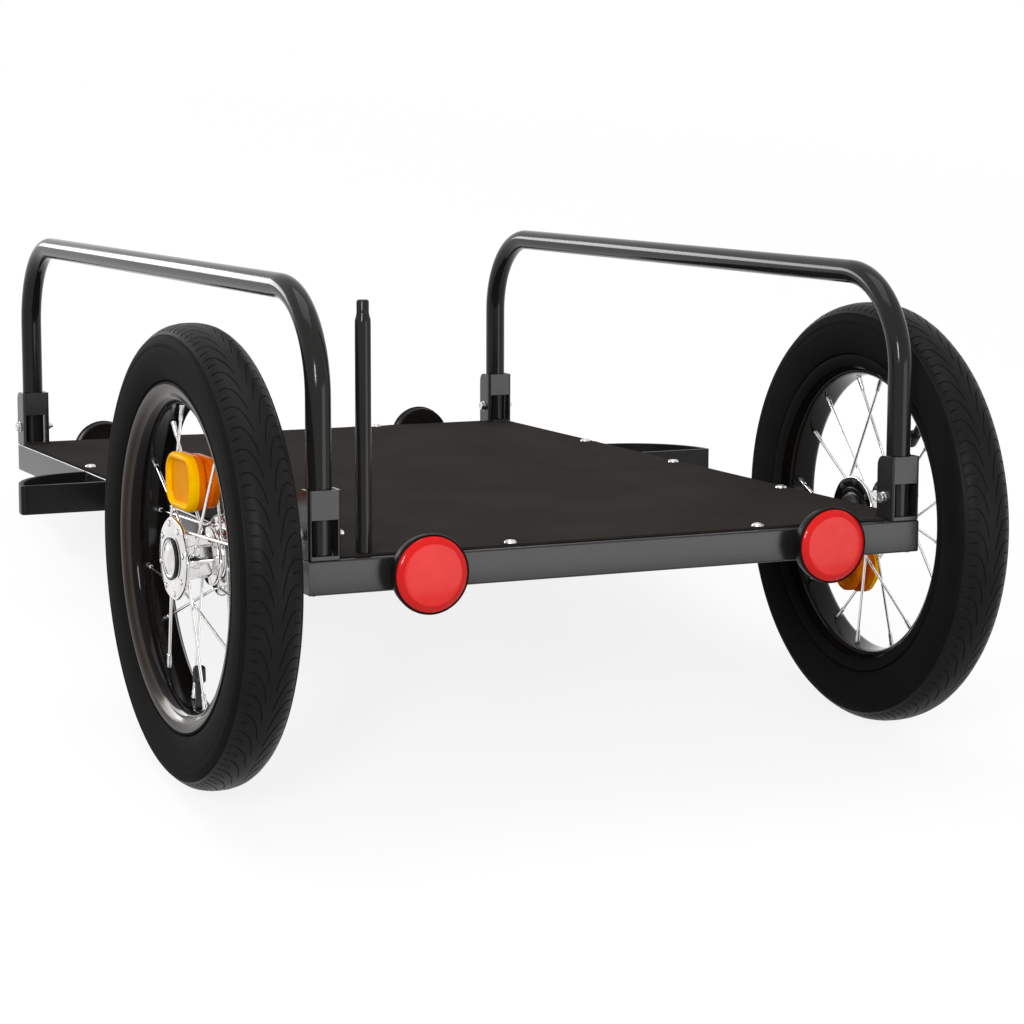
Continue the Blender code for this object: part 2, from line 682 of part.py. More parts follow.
def rounded_plate(width, height, corner, steps=3):
    """A rounded rectangle's points, as (sideways, radial)."""
    points = []
    for sign_u, sign_v, start in ((1, 1, 0), (-1, 1, 90), (-1, -1, 180), (1, -1, 270)):
        for step in range(steps + 1):
            turn = math.radians(start + 90 * step / steps)
            u = sign_u * (width / 2 - corner) + corner * math.cos(turn)
            v = sign_v * (height / 2 - corner) + corner * math.sin(turn)
            points.append((u, v))
    return points


def reflector_outline(inset):
    """The spoke reflector's rounded outline, drawn in by this much."""
    width, height = SPOKE_REFLECTOR_WIDTH - 2 * inset, SPOKE_REFLECTOR_HEIGHT - 2 * inset
    return rounded_plate(width, height, SPOKE_REFLECTOR_CORNER - inset)


def build_spoke_reflector(name, place, amber, parent):
    """Two lens plates on a waist, clear of the spokes that pass through them."""
    angle = math.radians(SPOKE_REFLECTOR_ANGLE)
    edge, inset = SPOKE_REFLECTOR_EDGE, SPOKE_REFLECTOR_INNER_INSET
    outer_face, outer_back = SPOKE_REFLECTOR_OUTER_FACE, SPOKE_REFLECTOR_OUTER_BACK
    inner_back, inner_face = SPOKE_REFLECTOR_INNER_BACK, SPOKE_REFLECTOR_INNER_FACE
    waist = SPOKE_REFLECTOR_WAIST
    levels = [(outer_face, edge), (outer_face - edge, 0.0), (outer_back, 0.0), (outer_back, waist)]
    levels += [(inner_back, waist), (inner_back, inset)]
    levels += [(inner_face + edge, inset), (inner_face, inset + edge)]
    layers = [(x, reflector_outline(drawn_in)) for x, drawn_in in levels]

    def put(x, u, v):
        r = SPOKE_REFLECTOR_RADIUS + v
        return place(x, math.hypot(r, u), angle + math.atan2(u, r))

    bm = bmesh.new()
    add_rings(bm, [[put(x, u, v) for u, v in outline] for x, outline in layers], wrap=False)
    reflector = make_object(name, bm, amber, parent)
    bm = bmesh.new()
    for index in range(SPOKE_COUNT):
        path = spoke_path(index, place)[0]
        wide = [SPOKE_DIAMETER / 2 + SPOKE_REFLECTOR_CLEARANCE] * 2
        sweep(bm, [path[2], path[3]], wide, SPOKE_SIDES)
    cut(reflector, make_object(name + "_spoke_room", bm, amber, parent))


def build_wheel(side_name, side, turn_degrees, materials, parent):
    """A wheel turns about its empty, which stands at the wheel's centre on the axle."""
    pivot = bpy.data.objects.new("wheel_" + side_name + "_pivot", None)
    bpy.context.scene.collection.objects.link(pivot)
    pivot.location = (side * WHEEL_X, WHEEL_Y, AXLE_Z)
    pivot.parent = parent
    turn = math.radians(turn_degrees)

    def place(along, radius, angle):
        return (side * along, radius * math.cos(angle + turn), radius * math.sin(angle + turn))

    build_tyre("tyre_" + side_name, place, materials["tyre"], pivot)
    build_rim("rim_" + side_name, place, materials["rim"], pivot)
    build_hub("hub_" + side_name, place, materials["chrome"], pivot)
    build_dust_cap("dust_cap_outer_" + side_name, place, 1, materials["rubber"], pivot)
    build_dust_cap("dust_cap_inner_" + side_name, place, -1, materials["rubber"], pivot)
    build_valve("valve_" + side_name, place, materials["rubber"], pivot)
    build_spoke_reflector("spoke_reflector_" + side_name, place, materials["amber"], pivot)


def parking_angle():
    """How far the nose drops until the socket's lower front edge meets the ground that the tyres stand on."""
    forward = FRAME_LENGTH - WHEEL_Y
    below = RAIL + GAP + SOCKET_SIZE + AXLE_Z
    return math.asin(WHEEL_RADIUS / math.hypot(forward, below)) - math.atan2(below, forward)


def park(parent):
    """Tips the trailer onto its nose, with the middle of its lowest level at the world's origin."""
    parent.matrix_world = Matrix.Rotation(-parking_angle(), 4, "X")
    bpy.context.view_layer.update()
    graph = bpy.context.evaluated_depsgraph_get()
    corners = []
    for found in bpy.data.objects:
        if found.type == "MESH" and not found.hide_render:
            solid = found.evaluated_get(graph)
            mesh = solid.to_mesh()
            corners += [solid.matrix_world @ vertex.co for vertex in mesh.vertices]
            solid.to_mesh_clear()
    low = [min(point[axis] for point in corners) for axis in range(3)]
    high = [max(point[axis] for point in corners) for axis in range(3)]
    shift = Vector((-(low[0] + high[0]) / 2, -(low[1] + high[1]) / 2, -low[2]))
    parent.matrix_world = Matrix.Translation(shift) @ parent.matrix_world
    bpy.context.view_layer.update()


def main():
    clear_scene()
    steel = make_material("black_powder_coat", (0.022, 0.022, 0.024), 0.42)
    gloss = make_material("gloss_black_tube", (0.012, 0.012, 0.013), 0.2)
    cloth = make_material("deck_cloth", (0.028, 0.025, 0.023), 0.75)
    housing = make_material("reflector_housing", (0.02, 0.018, 0.016), 0.3)
    red = make_material("red_lens", (0.75, 0.015, 0.015), 0.12)
    clear = make_material("white_lens", (0.78, 0.78, 0.76), 0.12)
    materials = {
        "tyre": make_material("tyre_rubber", (0.018, 0.018, 0.018), 0.7),
        "rim": make_material("rim_alloy", (0.03, 0.03, 0.031), 0.25, 0.8),
        "chrome": make_material("chrome", (0.8, 0.8, 0.8), 0.12, 1.0),
        "rubber": make_material("black_rubber", (0.015, 0.015, 0.015), 0.5),
        "amber": make_material("amber_plastic", (0.9, 0.32, 0.0), 0.15),
    }
    frame = bpy.data.objects.new("parked", None)
    bpy.context.scene.collection.objects.link(frame)
    build_frame(steel, frame)
    build_socket(steel, frame)
    build_deck(cloth, frame)
    front_bracket_y = FRAME_LENGTH - BRACKET_DEPTH
    for side_name, side, turn in (("left", -1, LEFT_WHEEL_TURN), ("right", 1, RIGHT_WHEEL_TURN)):
        build_bracket("bracket_rear_" + side_name, side, 0.0, steel, frame)
        build_bracket("bracket_front_" + side_name, side, front_bracket_y, steel, frame)
        build_hoop("hoop_" + side_name, side, gloss, frame)
        build_guard("wheel_guard_" + side_name, side, steel, frame)
        build_axle("axle_" + side_name, side, materials["chrome"], frame)
        build_wheel(side_name, side, turn, materials, frame)
        x = side * REFLECTOR_X
        build_reflector("reflector_rear_" + side_name, x, 0.0, -1, housing, red, frame)
        build_reflector("reflector_front_" + side_name, x, FRAME_LENGTH, 1, housing, clear, frame)
    build_post(gloss, frame)
    park(frame)


main()
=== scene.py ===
"""The looks of a bicycle cargo trailer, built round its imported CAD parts.

Each piece is modelled level, in metres: +X to the right, +Y forward, +Z up, with Y = 0 at the frame's rear
face and Z = 0 at the top of its rails. PARK lays it down as the CAD parts lie. A piece of a wheel is modelled
about the middle of that wheel.
"""

import json
import math

import bmesh
import bpy
import numpy as np
from mathutils import Matrix, Vector


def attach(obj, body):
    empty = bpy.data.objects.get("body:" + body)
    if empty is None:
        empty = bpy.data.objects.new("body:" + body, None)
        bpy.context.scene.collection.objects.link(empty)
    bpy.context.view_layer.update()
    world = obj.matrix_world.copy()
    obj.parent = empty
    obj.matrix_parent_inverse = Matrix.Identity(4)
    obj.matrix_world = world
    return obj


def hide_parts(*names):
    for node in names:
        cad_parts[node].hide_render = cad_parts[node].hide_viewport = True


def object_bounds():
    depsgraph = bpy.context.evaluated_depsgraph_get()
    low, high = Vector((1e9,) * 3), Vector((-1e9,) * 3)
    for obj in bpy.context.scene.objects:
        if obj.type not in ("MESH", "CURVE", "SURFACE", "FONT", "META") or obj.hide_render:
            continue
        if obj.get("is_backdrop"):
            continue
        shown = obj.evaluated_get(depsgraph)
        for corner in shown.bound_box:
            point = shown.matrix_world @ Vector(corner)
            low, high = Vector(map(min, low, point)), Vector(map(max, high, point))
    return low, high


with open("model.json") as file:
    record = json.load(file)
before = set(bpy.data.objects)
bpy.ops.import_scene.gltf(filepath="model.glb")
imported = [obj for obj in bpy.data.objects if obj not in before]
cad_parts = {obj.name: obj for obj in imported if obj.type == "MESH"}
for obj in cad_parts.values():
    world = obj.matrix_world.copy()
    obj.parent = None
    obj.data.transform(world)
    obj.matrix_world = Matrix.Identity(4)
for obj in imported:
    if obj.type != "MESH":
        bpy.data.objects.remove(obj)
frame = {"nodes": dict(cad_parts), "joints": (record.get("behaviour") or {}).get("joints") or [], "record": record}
cad_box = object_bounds()

# Dimensions of the CAD parts that the pieces repeat
GAP = 0.0003
HALF_WIDTH = 0.255
FRAME_LENGTH = 0.779
RAIL = 0.025
RAIL_MIDDLE = RAIL / 2
RAIL_WALL = 0.0015
CROSSMEMBERS = {"axle": 0.129, "middle": 0.355, "socket": 0.589}
DECK_END_INSET = 0.0075
DECK_SIDE_INSET = 0.002
DECK_NOTCH_CLEARANCE = 0.0015
DECK_THICKNESS = 0.002
HOOP_X = HALF_WIDTH - RAIL_MIDDLE
HOOP_RADIUS = 0.0095
HOOP_WALL = 0.0015
HOOP_HEIGHT = 0.19
HOOP_BEND = 0.075
BRACKET_PLATE = 0.0022
BRACKET_DEPTH = BRACKET_PLATE + 2 * HOOP_RADIUS + 0.001
BRACKET_HEIGHT = 0.05
BRACKET_CORNER = 0.008
BRACKET_BASE = 0.0025
WINDOW_FLOOR = GAP + BRACKET_BASE + 0.0003
WINDOW_TOP = WINDOW_FLOOR + 0.026
WINDOW_HALF = RAIL_MIDDLE - BRACKET_PLATE - 0.0003
FOOT_INSET = BRACKET_PLATE + 0.0005 + HOOP_RADIUS
POST_X = -0.208
POST_RADIUS = 0.0058
POST_TIP_RADIUS = 0.0045
POST_HEIGHT = 0.181
POST_TIP_LENGTH = 0.014
GUARD_Y = 0.477
GUARD_REACH = 0.078
GUARD_BAR = 0.004
GUARD_HEIGHT = 0.025
SOCKET_SIZE = 0.03
SOCKET_LENGTH = 0.2
REFLECTOR_X = 0.167
REFLECTOR_RADIUS = 0.0294
REFLECTOR_BEZEL = 0.0014
REFLECTOR_DEPTH = 0.016
WHEEL_X = 0.294
WHEEL_Y = 0.129
AXLE_Z = -RAIL_MIDDLE
WHEEL_RADIUS = 0.174
RIM_RADIUS = 0.131
RIM_DEPTH = 0.017
WHEEL_TURNS = {"left": 0.0, "right": math.radians(-139.0)}
SIDES = {"left": -1, "right": 1}
FLANGE_OFFSET = 0.018
FLANGE_HALF = 0.002
FLANGE_RADIUS = 0.031
HUB_END = 0.0206
SPOKE_COUNT = 16
SPOKE_CIRCLE = 0.02625
SPOKE_RADIUS = 0.00115
NIPPLE_RADIUS = 0.0021
NIPPLE_LENGTH = 0.012
NIPPLE_OFFSET = 0.003
DUST_CAP_RADIUS = 0.016
DUST_CAP_LENGTH = 0.0018
DOME_RADIUS = 0.0122
VALVE_ANGLE = math.radians(-90.0)
VALVE_LENGTH = 0.031
AMBER_ANGLE = math.radians(90.0)
AMBER_RADIUS = 0.057

TURN = 2 * math.pi


def park_matrix():
    """Where the level frame lies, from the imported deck's direction and the left wheel's place."""
    up = next(m["axis"] for m in frame["record"]["mounts"] if m["name"] == "deck_top")
    wheel = next(j["pos_m"] for j in frame["joints"] if j["name"] == "wheel_left_spin")
    tip = Matrix.Rotation(-math.atan2(up[1], up[2]), 4, "X")
    return Matrix.Translation(Vector(wheel) - tip @ Vector((-WHEEL_X, WHEEL_Y, AXLE_Z))) @ tip


PARK = park_matrix()


def wheel_body(name):
    """The body that a wheel's piece rides on, from the left or right at the end of its CAD node's name."""
    return "wheel_" + name.split("_")[-1]


def wheel_matrix(side):
    return PARK @ Matrix.Translation((side * WHEEL_X, WHEEL_Y, AXLE_Z))


class Finish:
    """A material, with the few kinds of node that all of them are made of."""

    def __init__(self, name, colour, roughness, metallic=0.0, constants=()):
        self.material = bpy.data.materials.new(name)
        self.material.use_nodes = True
        self.tree = self.material.node_tree
        self.shader = self.tree.nodes["Principled BSDF"]
        self.normal = None
        self.shader.inputs["Base Color"].default_value = (*colour, 1.0)
        self.shader.inputs["Roughness"].default_value = roughness
        self.shader.inputs["Metallic"].default_value = metallic
        for socket, value in constants:
            self.shader.inputs[socket].default_value = value
        self.coords = self.tree.nodes.new("ShaderNodeTexCoord").outputs["Object"]
        self.material.diffuse_color = (*colour, 1.0)

    def add(self, kind, **inputs):
        """Adds a node. An input given as a socket is linked, and any other is set."""
        node = self.tree.nodes.new(kind)
        for name, value in inputs.items():
            socket = node.inputs[name.replace("_", " ")]
            if isinstance(value, bpy.types.NodeSocket):
                self.tree.links.new(value, socket)
            else:
                socket.default_value = value
        return node

    def stretched(self, scale, turn=(0.0, 0.0, 0.0)):
        node = self.add("ShaderNodeMapping", Vector=self.coords)
        node.inputs["Scale"].default_value = scale
        node.inputs["Rotation"].default_value = turn
        return node.outputs["Vector"]

    def noise(self, scale, detail=3.0, coords=None, roughness=0.55):
        inputs = {"Vector": coords or self.coords, "Scale": scale, "Detail": detail, "Roughness": roughness}
        return self.add("ShaderNodeTexNoise", **inputs).outputs["Fac"]

    def cells(self, scale, coords=None, metric="EUCLIDEAN", feature="F1", randomness=1.0):
        node = self.add("ShaderNodeTexVoronoi", Vector=coords or self.coords, Scale=scale, Randomness=randomness)
        node.distance = metric
        node.feature = feature
        return node.outputs["Distance"]

    def waves(self, scale, direction, coords=None):
        node = self.add("ShaderNodeTexWave", Vector=coords or self.coords, Scale=scale)
        node.bands_direction = direction
        node.wave_profile = "SIN"
        return node.outputs["Fac"]

    def spread(self, value, source, target):
        """Maps a value from one range onto another, held at its ends."""
        node = self.add("ShaderNodeMapRange", Value=value)
        for name, number in zip(("From Min", "From Max", "To Min", "To Max"), (*source, *target)):
            node.inputs[name].default_value = number
        return node.outputs["Result"]

    def sum(self, first, second, operation="ADD"):
        node = self.tree.nodes.new("ShaderNodeMath")
        node.operation = operation
        for socket, value in zip(node.inputs, (first, second)):
            if isinstance(value, bpy.types.NodeSocket):
                self.tree.links.new(value, socket)
            else:
                socket.default_value = value
        return node.outputs["Value"]

    def mixed(self, factor, first, second):
        node = self.tree.nodes.new("ShaderNodeMix")
        node.data_type = "RGBA"
        self.tree.links.new(factor, node.inputs["Factor"])
        for socket, value in zip((node.inputs[6], node.inputs[7]), (first, second)):
            if isinstance(value, bpy.types.NodeSocket):
                self.tree.links.new(value, socket)
            else:
                socket.default_value = (*value, 1.0)
        return node.outputs[2]

    def colour(self, source):
        self.tree.links.new(source, self.shader.inputs["Base Color"])

    def roughness(self, source):
        self.tree.links.new(source, self.shader.inputs["Roughness"])

    def bump(self, height, distance, strength=1.0):
        """Adds relief of this depth in metres, on top of what was added before."""
        node = self.add("ShaderNodeBump", Height=height, Distance=distance, Strength=strength)
        if self.normal:
            self.tree.links.new(self.normal, node.inputs["Normal"])
        self.normal = node.outputs["Normal"]
        self.tree.links.new(self.normal, self.shader.inputs["Normal"])


def clouded(name, dark, light, shine, metallic=0.0, specular=0.5, scale=16.0):
    """A finish whose colour and roughness drift softly between two values."""
    made = Finish(name, light, shine[0], metallic, [("Specular IOR Level", specular)])
    cloud = made.noise(scale, 4.0)
    base = made.mixed(made.spread(cloud, (0.32, 0.7), (0.0, 1.0)), dark, light)
    made.colour(base)
    made.roughness(made.spread(cloud, (0.3, 0.75), shine))
    return made, base


def powder_coat(name, dark, light, shine, specular):
    """Black powder coat: fine orange peel and a little dust."""
    made, base = clouded(name, dark, light, shine, specular=specular, scale=14.0)
    made.colour(made.mixed(made.spread(made.noise(420.0, 2.0), (0.66, 0.8), (0.0, 0.3)), base, (0.06, 0.058, 0.055)))
    made.bump(made.noise(900.0, 2.0), 0.00006)
    return made.material


def gloss_paint():
    """Smooth gloss black on the bent tubes, with faint draw marks."""
    made, _ = clouded("gloss_black_tube", (0.008, 0.0076, 0.0072), (0.012, 0.0113, 0.0106), (0.11, 0.16), specular=0.19, scale=9.0)
    made.bump(made.noise(260.0, 2.0), 0.00003)
    return made.material


def deck_cloth():
    """Dark coated cloth: a plain weave under the coating, with soft creases."""
    made, base = clouded("deck_cloth", (0.02, 0.0172, 0.0152), (0.027, 0.0236, 0.021), (0.8, 0.8), specular=0.02, scale=11.0)
    level = made.stretched((1.0, 1.0, 1.0), (PARK.inverted().to_euler().x, 0.0, 0.0))
    weave = made.sum(made.waves(330.0, "X", level), made.waves(330.0, "Y", level), "MULTIPLY")
    made.colour(made.mixed(made.spread(made.noise(1500.0, 2.0), (0.55, 0.8), (0.0, 0.4)), base, (0.038, 0.033, 0.029)))
    made.roughness(made.spread(weave, (0.0, 1.0), (0.88, 0.76)))
    made.bump(weave, 0.00022, 0.6)
    made.bump(made.noise(26.0, 3.0), 0.0012, 0.35)
    return made.material


def moulded_black():
    """Dark plastic of the reflector cups, a touch brown."""
    made, _ = clouded("reflector_housing", (0.004, 0.0034, 0.003), (0.009, 0.0072, 0.0062), (0.28, 0.38), specular=0.05, scale=30.0)
    made.bump(made.noise(700.0, 2.0), 0.00003)
    return made.material


def lens(name, deep, bright, shine, specular=0.25, relief=0.12):
    """A moulded lens: smooth outside, with prism cells that show faintly from behind."""
    made, base = clouded(name, deep, bright, (shine * 0.8, shine * 1.2), specular=specular, scale=40.0)
    prisms = made.cells(330.0, metric="CHEBYCHEV", randomness=0.0)
    made.colour(made.mixed(made.spread(prisms, (0.1, 0.55), (0.0, relief)), base, deep))
    made.bump(made.noise(120.0, 2.0), 0.00003)
    return made.material


def ribbed_amber(name, deep, bright, relief):
    """Orange lens plastic, with its field of moulded ribs."""
    made, base = clouded(name, deep, bright, (0.16, 0.28), specular=0.006, scale=60.0)
    ribs = made.cells(340.0, metric="CHEBYCHEV", randomness=0.0)
    made.colour(made.mixed(made.spread(ribs, (0.1, 0.55), (0.0, relief)), base, deep))
    made.bump(ribs, 0.0002, relief)
    return made.material


def tyre_rubber(name, dark, light, shine, specular):
    """Black rubber, with mould haze and a little dust."""
    made, base = clouded(name, dark, light, shine, specular=specular, scale=18.0)
    grain = made.noise(1300.0, 2.0)
    made.colour(made.mixed(made.spread(grain, (0.62, 0.8), (0.0, 0.25)), base, (0.04, 0.039, 0.0375)))
    made.bump(grain, 0.00008, 0.6)
    return made.material


def rim_alloy(name, dark, light, shine, metallic, specular=0.5):
    """Dark alloy with faint turning marks."""
    made, _ = clouded(name, dark, light, shine, metallic, specular)
    marks = made.noise(3.0, 5.0, made.stretched((900.0, 4.0, 4.0)))
    made.roughness(made.spread(marks, (0.3, 0.7), shine))
    made.bump(marks, 0.00002, 0.5)
    return made.material


def chrome(name, dark, light, shine):
    """Polished plating, with a little haze and fine scratches."""
    made, _ = clouded(name, dark, light, shine, 1.0, scale=55.0)
    made.roughness(made.spread(made.noise(6.0, 5.0, made.stretched((500.0, 40.0, 40.0))), (0.3, 0.75), shine))
    made.bump(made.noise(150.0, 2.0), 0.00005, 0.6)
    return made.material


def zinc():
    """Bright zinc plating of bolts and screws, slightly clouded."""
    made, base = clouded("zinc_plate", (0.5, 0.5, 0.5), (0.7, 0.7, 0.71), (0.2, 0.38), 1.0, scale=240.0)
    made.bump(base, 0.00003, 0.6)
    return made.material


def black_rubber():
    """Smooth black rubber and plastic of the valve and the dust caps."""
    made, _ = clouded("black_rubber", (0.01, 0.01, 0.0102), (0.018, 0.018, 0.018), (0.34, 0.5), specular=0.25, scale=90.0)
    made.bump(made.noise(800.0, 2.0), 0.00004)
    return made.material


FINISHES = {
    "steel": powder_coat("black_powder_coat", (0.0115, 0.0115, 0.012), (0.0165, 0.016, 0.016), (0.18, 0.26), 0.35),
    "satin": powder_coat("black_satin_coat", (0.0055, 0.0055, 0.0057), (0.0088, 0.0086, 0.0084), (0.32, 0.42), 0.12),
    "gloss": gloss_paint(),
    "cloth": deck_cloth(),
    "housing": moulded_black(),
    "red": lens("red_lens", (0.7, 0.026, 0.023), (0.76, 0.04, 0.036), 0.14, 0.12),
    "red_edge": lens("red_lens_edge", (0.54, 0.004, 0.004), (0.68, 0.006, 0.006), 0.1, 0.2),
    "clear": lens("clear_lens", (0.5, 0.51, 0.52), (0.84, 0.85, 0.85), 0.1, 0.5, 0.8),
    "tyre": tyre_rubber("tyre_tread", (0.009, 0.009, 0.0091), (0.0125, 0.0123, 0.0121), (0.34, 0.44), 0.05),
    "wall": tyre_rubber("tyre_wall", (0.0078, 0.0075, 0.0072), (0.0108, 0.0104, 0.01), (0.55, 0.68), 0.012),
    "rim": rim_alloy("rim_wall", (0.017, 0.0122, 0.0088), (0.028, 0.021, 0.0155), (0.15, 0.24), 0.42, 0.14),
    "rim_bed": rim_alloy("rim_bed", (0.0028, 0.0023, 0.002), (0.0058, 0.0048, 0.0042), (0.06, 0.12), 0.0, 0.1),
    # A lighter, smoother alloy on the outboard crease only: a painted highlight along the crease.
    "rim_crease": rim_alloy("rim_crease", (0.032, 0.026, 0.0215), (0.05, 0.042, 0.035), (0.1, 0.16), 0.5, 0.16),
    "chrome": chrome("chrome", (0.66, 0.65, 0.64), (0.82, 0.81, 0.8), (0.05, 0.14)),
    "zinc": zinc(),
    "rubber": black_rubber(),
    "amber": ribbed_amber("amber_border", (0.96, 0.42, 0.0), (1.0, 0.56, 0.0), 0.08),
    "amber_field": ribbed_amber("amber_field", (0.84, 0.3, 0.0), (0.93, 0.39, 0.0), 0.25),
    "amber_back": ribbed_amber("amber_back", (0.76, 0.13, 0.0), (0.98, 0.25, 0.0), 0.7),
}


class Shape:
    """The points and faces of one piece, gathered from closed shells."""

    def __init__(self):
        self.points = []
        self.faces = []

    def rings(self, rings, closed=False):
        """Joins rings of equal length by quads. A row that isn't closed is capped at both ends."""
        first, size, count = len(self.points), len(rings[0]), len(rings)
        for ring in rings:
            self.points.extend(tuple(point) for point in ring)
        for r in range(count if closed else count - 1):
            low, high = first + r * size, first + (r + 1) % count * size
            for i in range(size):
                j = (i + 1) % size
                self.faces.append((low + i, low + j, high + j, high + i))
        if not closed:
            self.faces.append(tuple(range(first + size - 1, first - 1, -1)))
            self.faces.append(tuple(range(first + (count - 1) * size, first + count * size)))

    def turned(self, profile, steps, place):
        """Turns (along, radius) points about an axis. A radius may be a function of the angle.

        A profile that starts and ends at radius 0 makes a solid piece, and any other is closed into a ring.
        """
        rings = []
        for along, radius in profile:
            ring = []
            for i in range(steps):
                angle = TURN * i / steps
                r = radius(angle) if callable(radius) else radius
                ring.append(place(along, r, angle))
            rings.append(ring)
        self.rings(rings, closed=profile[0][1] != 0)

    def swept(self, path, radii, sides, closed=False):
        """A round bar along a bent path, with its own radius at each point."""
        rings = []
        count = len(path)
        across = None
        for i, (point, radius) in enumerate(zip(path, radii)):
            before = path[i - 1] if i or closed else point
            after = path[(i + 1) % count] if i + 1 < count or closed else point
            along = (Vector(after) - Vector(before)).normalized()
            across = along.orthogonal() if across is None else across - across.dot(along) * along
            across.normalize()
            third = along.cross(across)
            turns = [TURN * k / sides for k in range(sides)]
            rings.append([Vector(point) + radius * (math.cos(t) * across + math.sin(t) * third) for t in turns])
        self.rings(rings, closed)

    def bead(self, path, radius, step=0.0013):
        """A weld bead: a thin bar along the path whose width ripples."""
        points = [Vector(p) for p in path]
        spaced = []
        for a, b in zip(points, points[1:]):
            count = max(2, round((b - a).length / (step / 3)))
            spaced += [a.lerp(b, k / count) for k in range(count)]
        spaced.append(points[-1])
        radii = [radius * (0.82 + 0.18 * abs(math.cos(math.pi * k / 3))) for k in range(len(spaced))]
        radii[0] = radii[-1] = radius * 0.5
        self.swept(spaced, radii, 8)


def add_piece(name, shape, finish, body, place=PARK, replaces=(), smooth=40.0, bevel=0.0, others=(), choose=None):
    """Makes a piece of the shape, in place, riding on its body.

    Where other finishes are named, choose says from a face's middle which one it takes, and 0 is the first.
    """
    mesh = bpy.data.meshes.new(name)
    mesh.from_pydata(shape.points, [], shape.faces)
    if choose:
        for face in mesh.polygons:
            face.material_index = choose(face.center)
    bm = bmesh.new()
    bm.from_mesh(mesh)
    bmesh.ops.remove_doubles(bm, verts=bm.verts, dist=1e-7)
    bmesh.ops.recalc_face_normals(bm, faces=bm.faces)
    bm.to_mesh(mesh)
    bm.free()
    mesh.transform(place)
    mesh.shade_smooth()
    mesh.set_sharp_from_angle(angle=math.radians(smooth))
    for used in (finish, *others):
        mesh.materials.append(FINISHES[used])
    piece = bpy.data.objects.new(name, mesh)
    bpy.context.scene.collection.objects.link(piece)
    if bevel:
        step = piece.modifiers.new("rounded_edges", "BEVEL")
        step.width = bevel
        step.segments = 3
        step.limit_method = "ANGLE"
        step.angle_limit = math.radians(35.0)
        step.harden_normals = True
    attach(piece, body)
    if replaces:
        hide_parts(*replaces)
    return piece


def about_x(x, side=1, y=0.0, z=0.0):
    """Places a turned profile on an axis along X, counted outwards from x on that side."""

    def place(along, radius, angle):
        return (x + side * along, y + radius * math.cos(angle), z + radius * math.sin(angle))

    return place


def about_y(x, y, z, side=1):
    def place(along, radius, angle):
        return (x + radius * math.cos(angle), y + side * along, z + radius * math.sin(angle))

    return place


def about_z(x, y, z):
    def place(along, radius, angle):
        return (x + radius * math.cos(angle), y + radius * math.sin(angle), z + along)

    return place


def arc(centre_u, centre_v, radius, start, end, steps):
    """Points of an arc, its angles in degrees."""
    points = []
    for i in range(steps + 1):
        angle = math.radians(start + (end - start) * i / steps)
        points.append((centre_u + radius * math.cos(angle), centre_v + radius * math.sin(angle)))
    return points


def rounded_rectangle(width, height, corner, steps):
    half_u, half_v = width / 2 - corner, height / 2 - corner
    points = arc(half_u, half_v, corner, 0, 90, steps)
    points += arc(-half_u, half_v, corner, 90, 180, steps)
    points += arc(-half_u, -half_v, corner, 180, 270, steps)
    return points + arc(half_u, -half_v, corner, 270, 360, steps)


def hexagon(across):
    """The radius of a hexagon at an angle, from its width across flats."""
    return lambda angle: across / 2 / math.cos((angle % (TURN / 6)) - TURN / 12)


def cross_recess(angle, reach=0.0022, half=0.0007):
    """The radius of a cross-shaped recess at an angle."""
    turn = angle % (TURN / 4)
    turn = min(turn, TURN / 4 - turn)
    return min(reach / math.cos(turn), half / max(math.sin(turn), 1e-6))


# The frame


def square_tube(shape, size, wall, corner, place):
    """A hollow square tube. place(u, v, end) gives the point of the section (u, v) at end 0 or 1."""
    outer = rounded_rectangle(size, size, corner, 6)
    inner = rounded_rectangle(size - 2 * wall, size - 2 * wall, max(corner - wall, wall / 4), 6)
    ends = ((outer, 0), (outer, 1), (inner, 1), (inner, 0))
    shape.rings([[place(u, v, end) for u, v in section] for section, end in ends], closed=True)


def frame_tube_across(name, y, half_length, mitred):
    def place(u, v, end):
        cut_back = abs(u + mitred * RAIL_MIDDLE) + GAP / 2 if mitred else 0.0
        return ((2 * end - 1) * (half_length - cut_back), y + u, v - RAIL_MIDDLE)

    shape = Shape()
    square_tube(shape, RAIL, RAIL_WALL, 0.0015, place)
    add_piece(name + "_tube", shape, "steel", "chassis", replaces=[name])


def frame_tube_along(name, side):
    def place(u, v, end):
        from_outside = RAIL_MIDDLE - u + GAP / 2
        y = from_outside if end == 0 else FRAME_LENGTH - from_outside
        return (side * (HOOP_X + u), y, v - RAIL_MIDDLE)

    shape = Shape()
    square_tube(shape, RAIL, RAIL_WALL, 0.0015, place)
    add_piece(name + "_tube", shape, "steel", "chassis", replaces=[name])


def build_frame():
    frame_tube_across("crossmember_rear", RAIL_MIDDLE, HALF_WIDTH, 1)
    frame_tube_across("crossmember_front", FRAME_LENGTH - RAIL_MIDDLE, HALF_WIDTH, -1)
    for name, y in CROSSMEMBERS.items():
        frame_tube_across("crossmember_" + name, y, HALF_WIDTH - RAIL - GAP, 0)
    for side_name, side in SIDES.items():
        frame_tube_along("rail_" + side_name, side)
    frame["nodes"]["drawbar_socket"].data.materials.clear()
    frame["nodes"]["drawbar_socket"].data.materials.append(FINISHES["steel"])


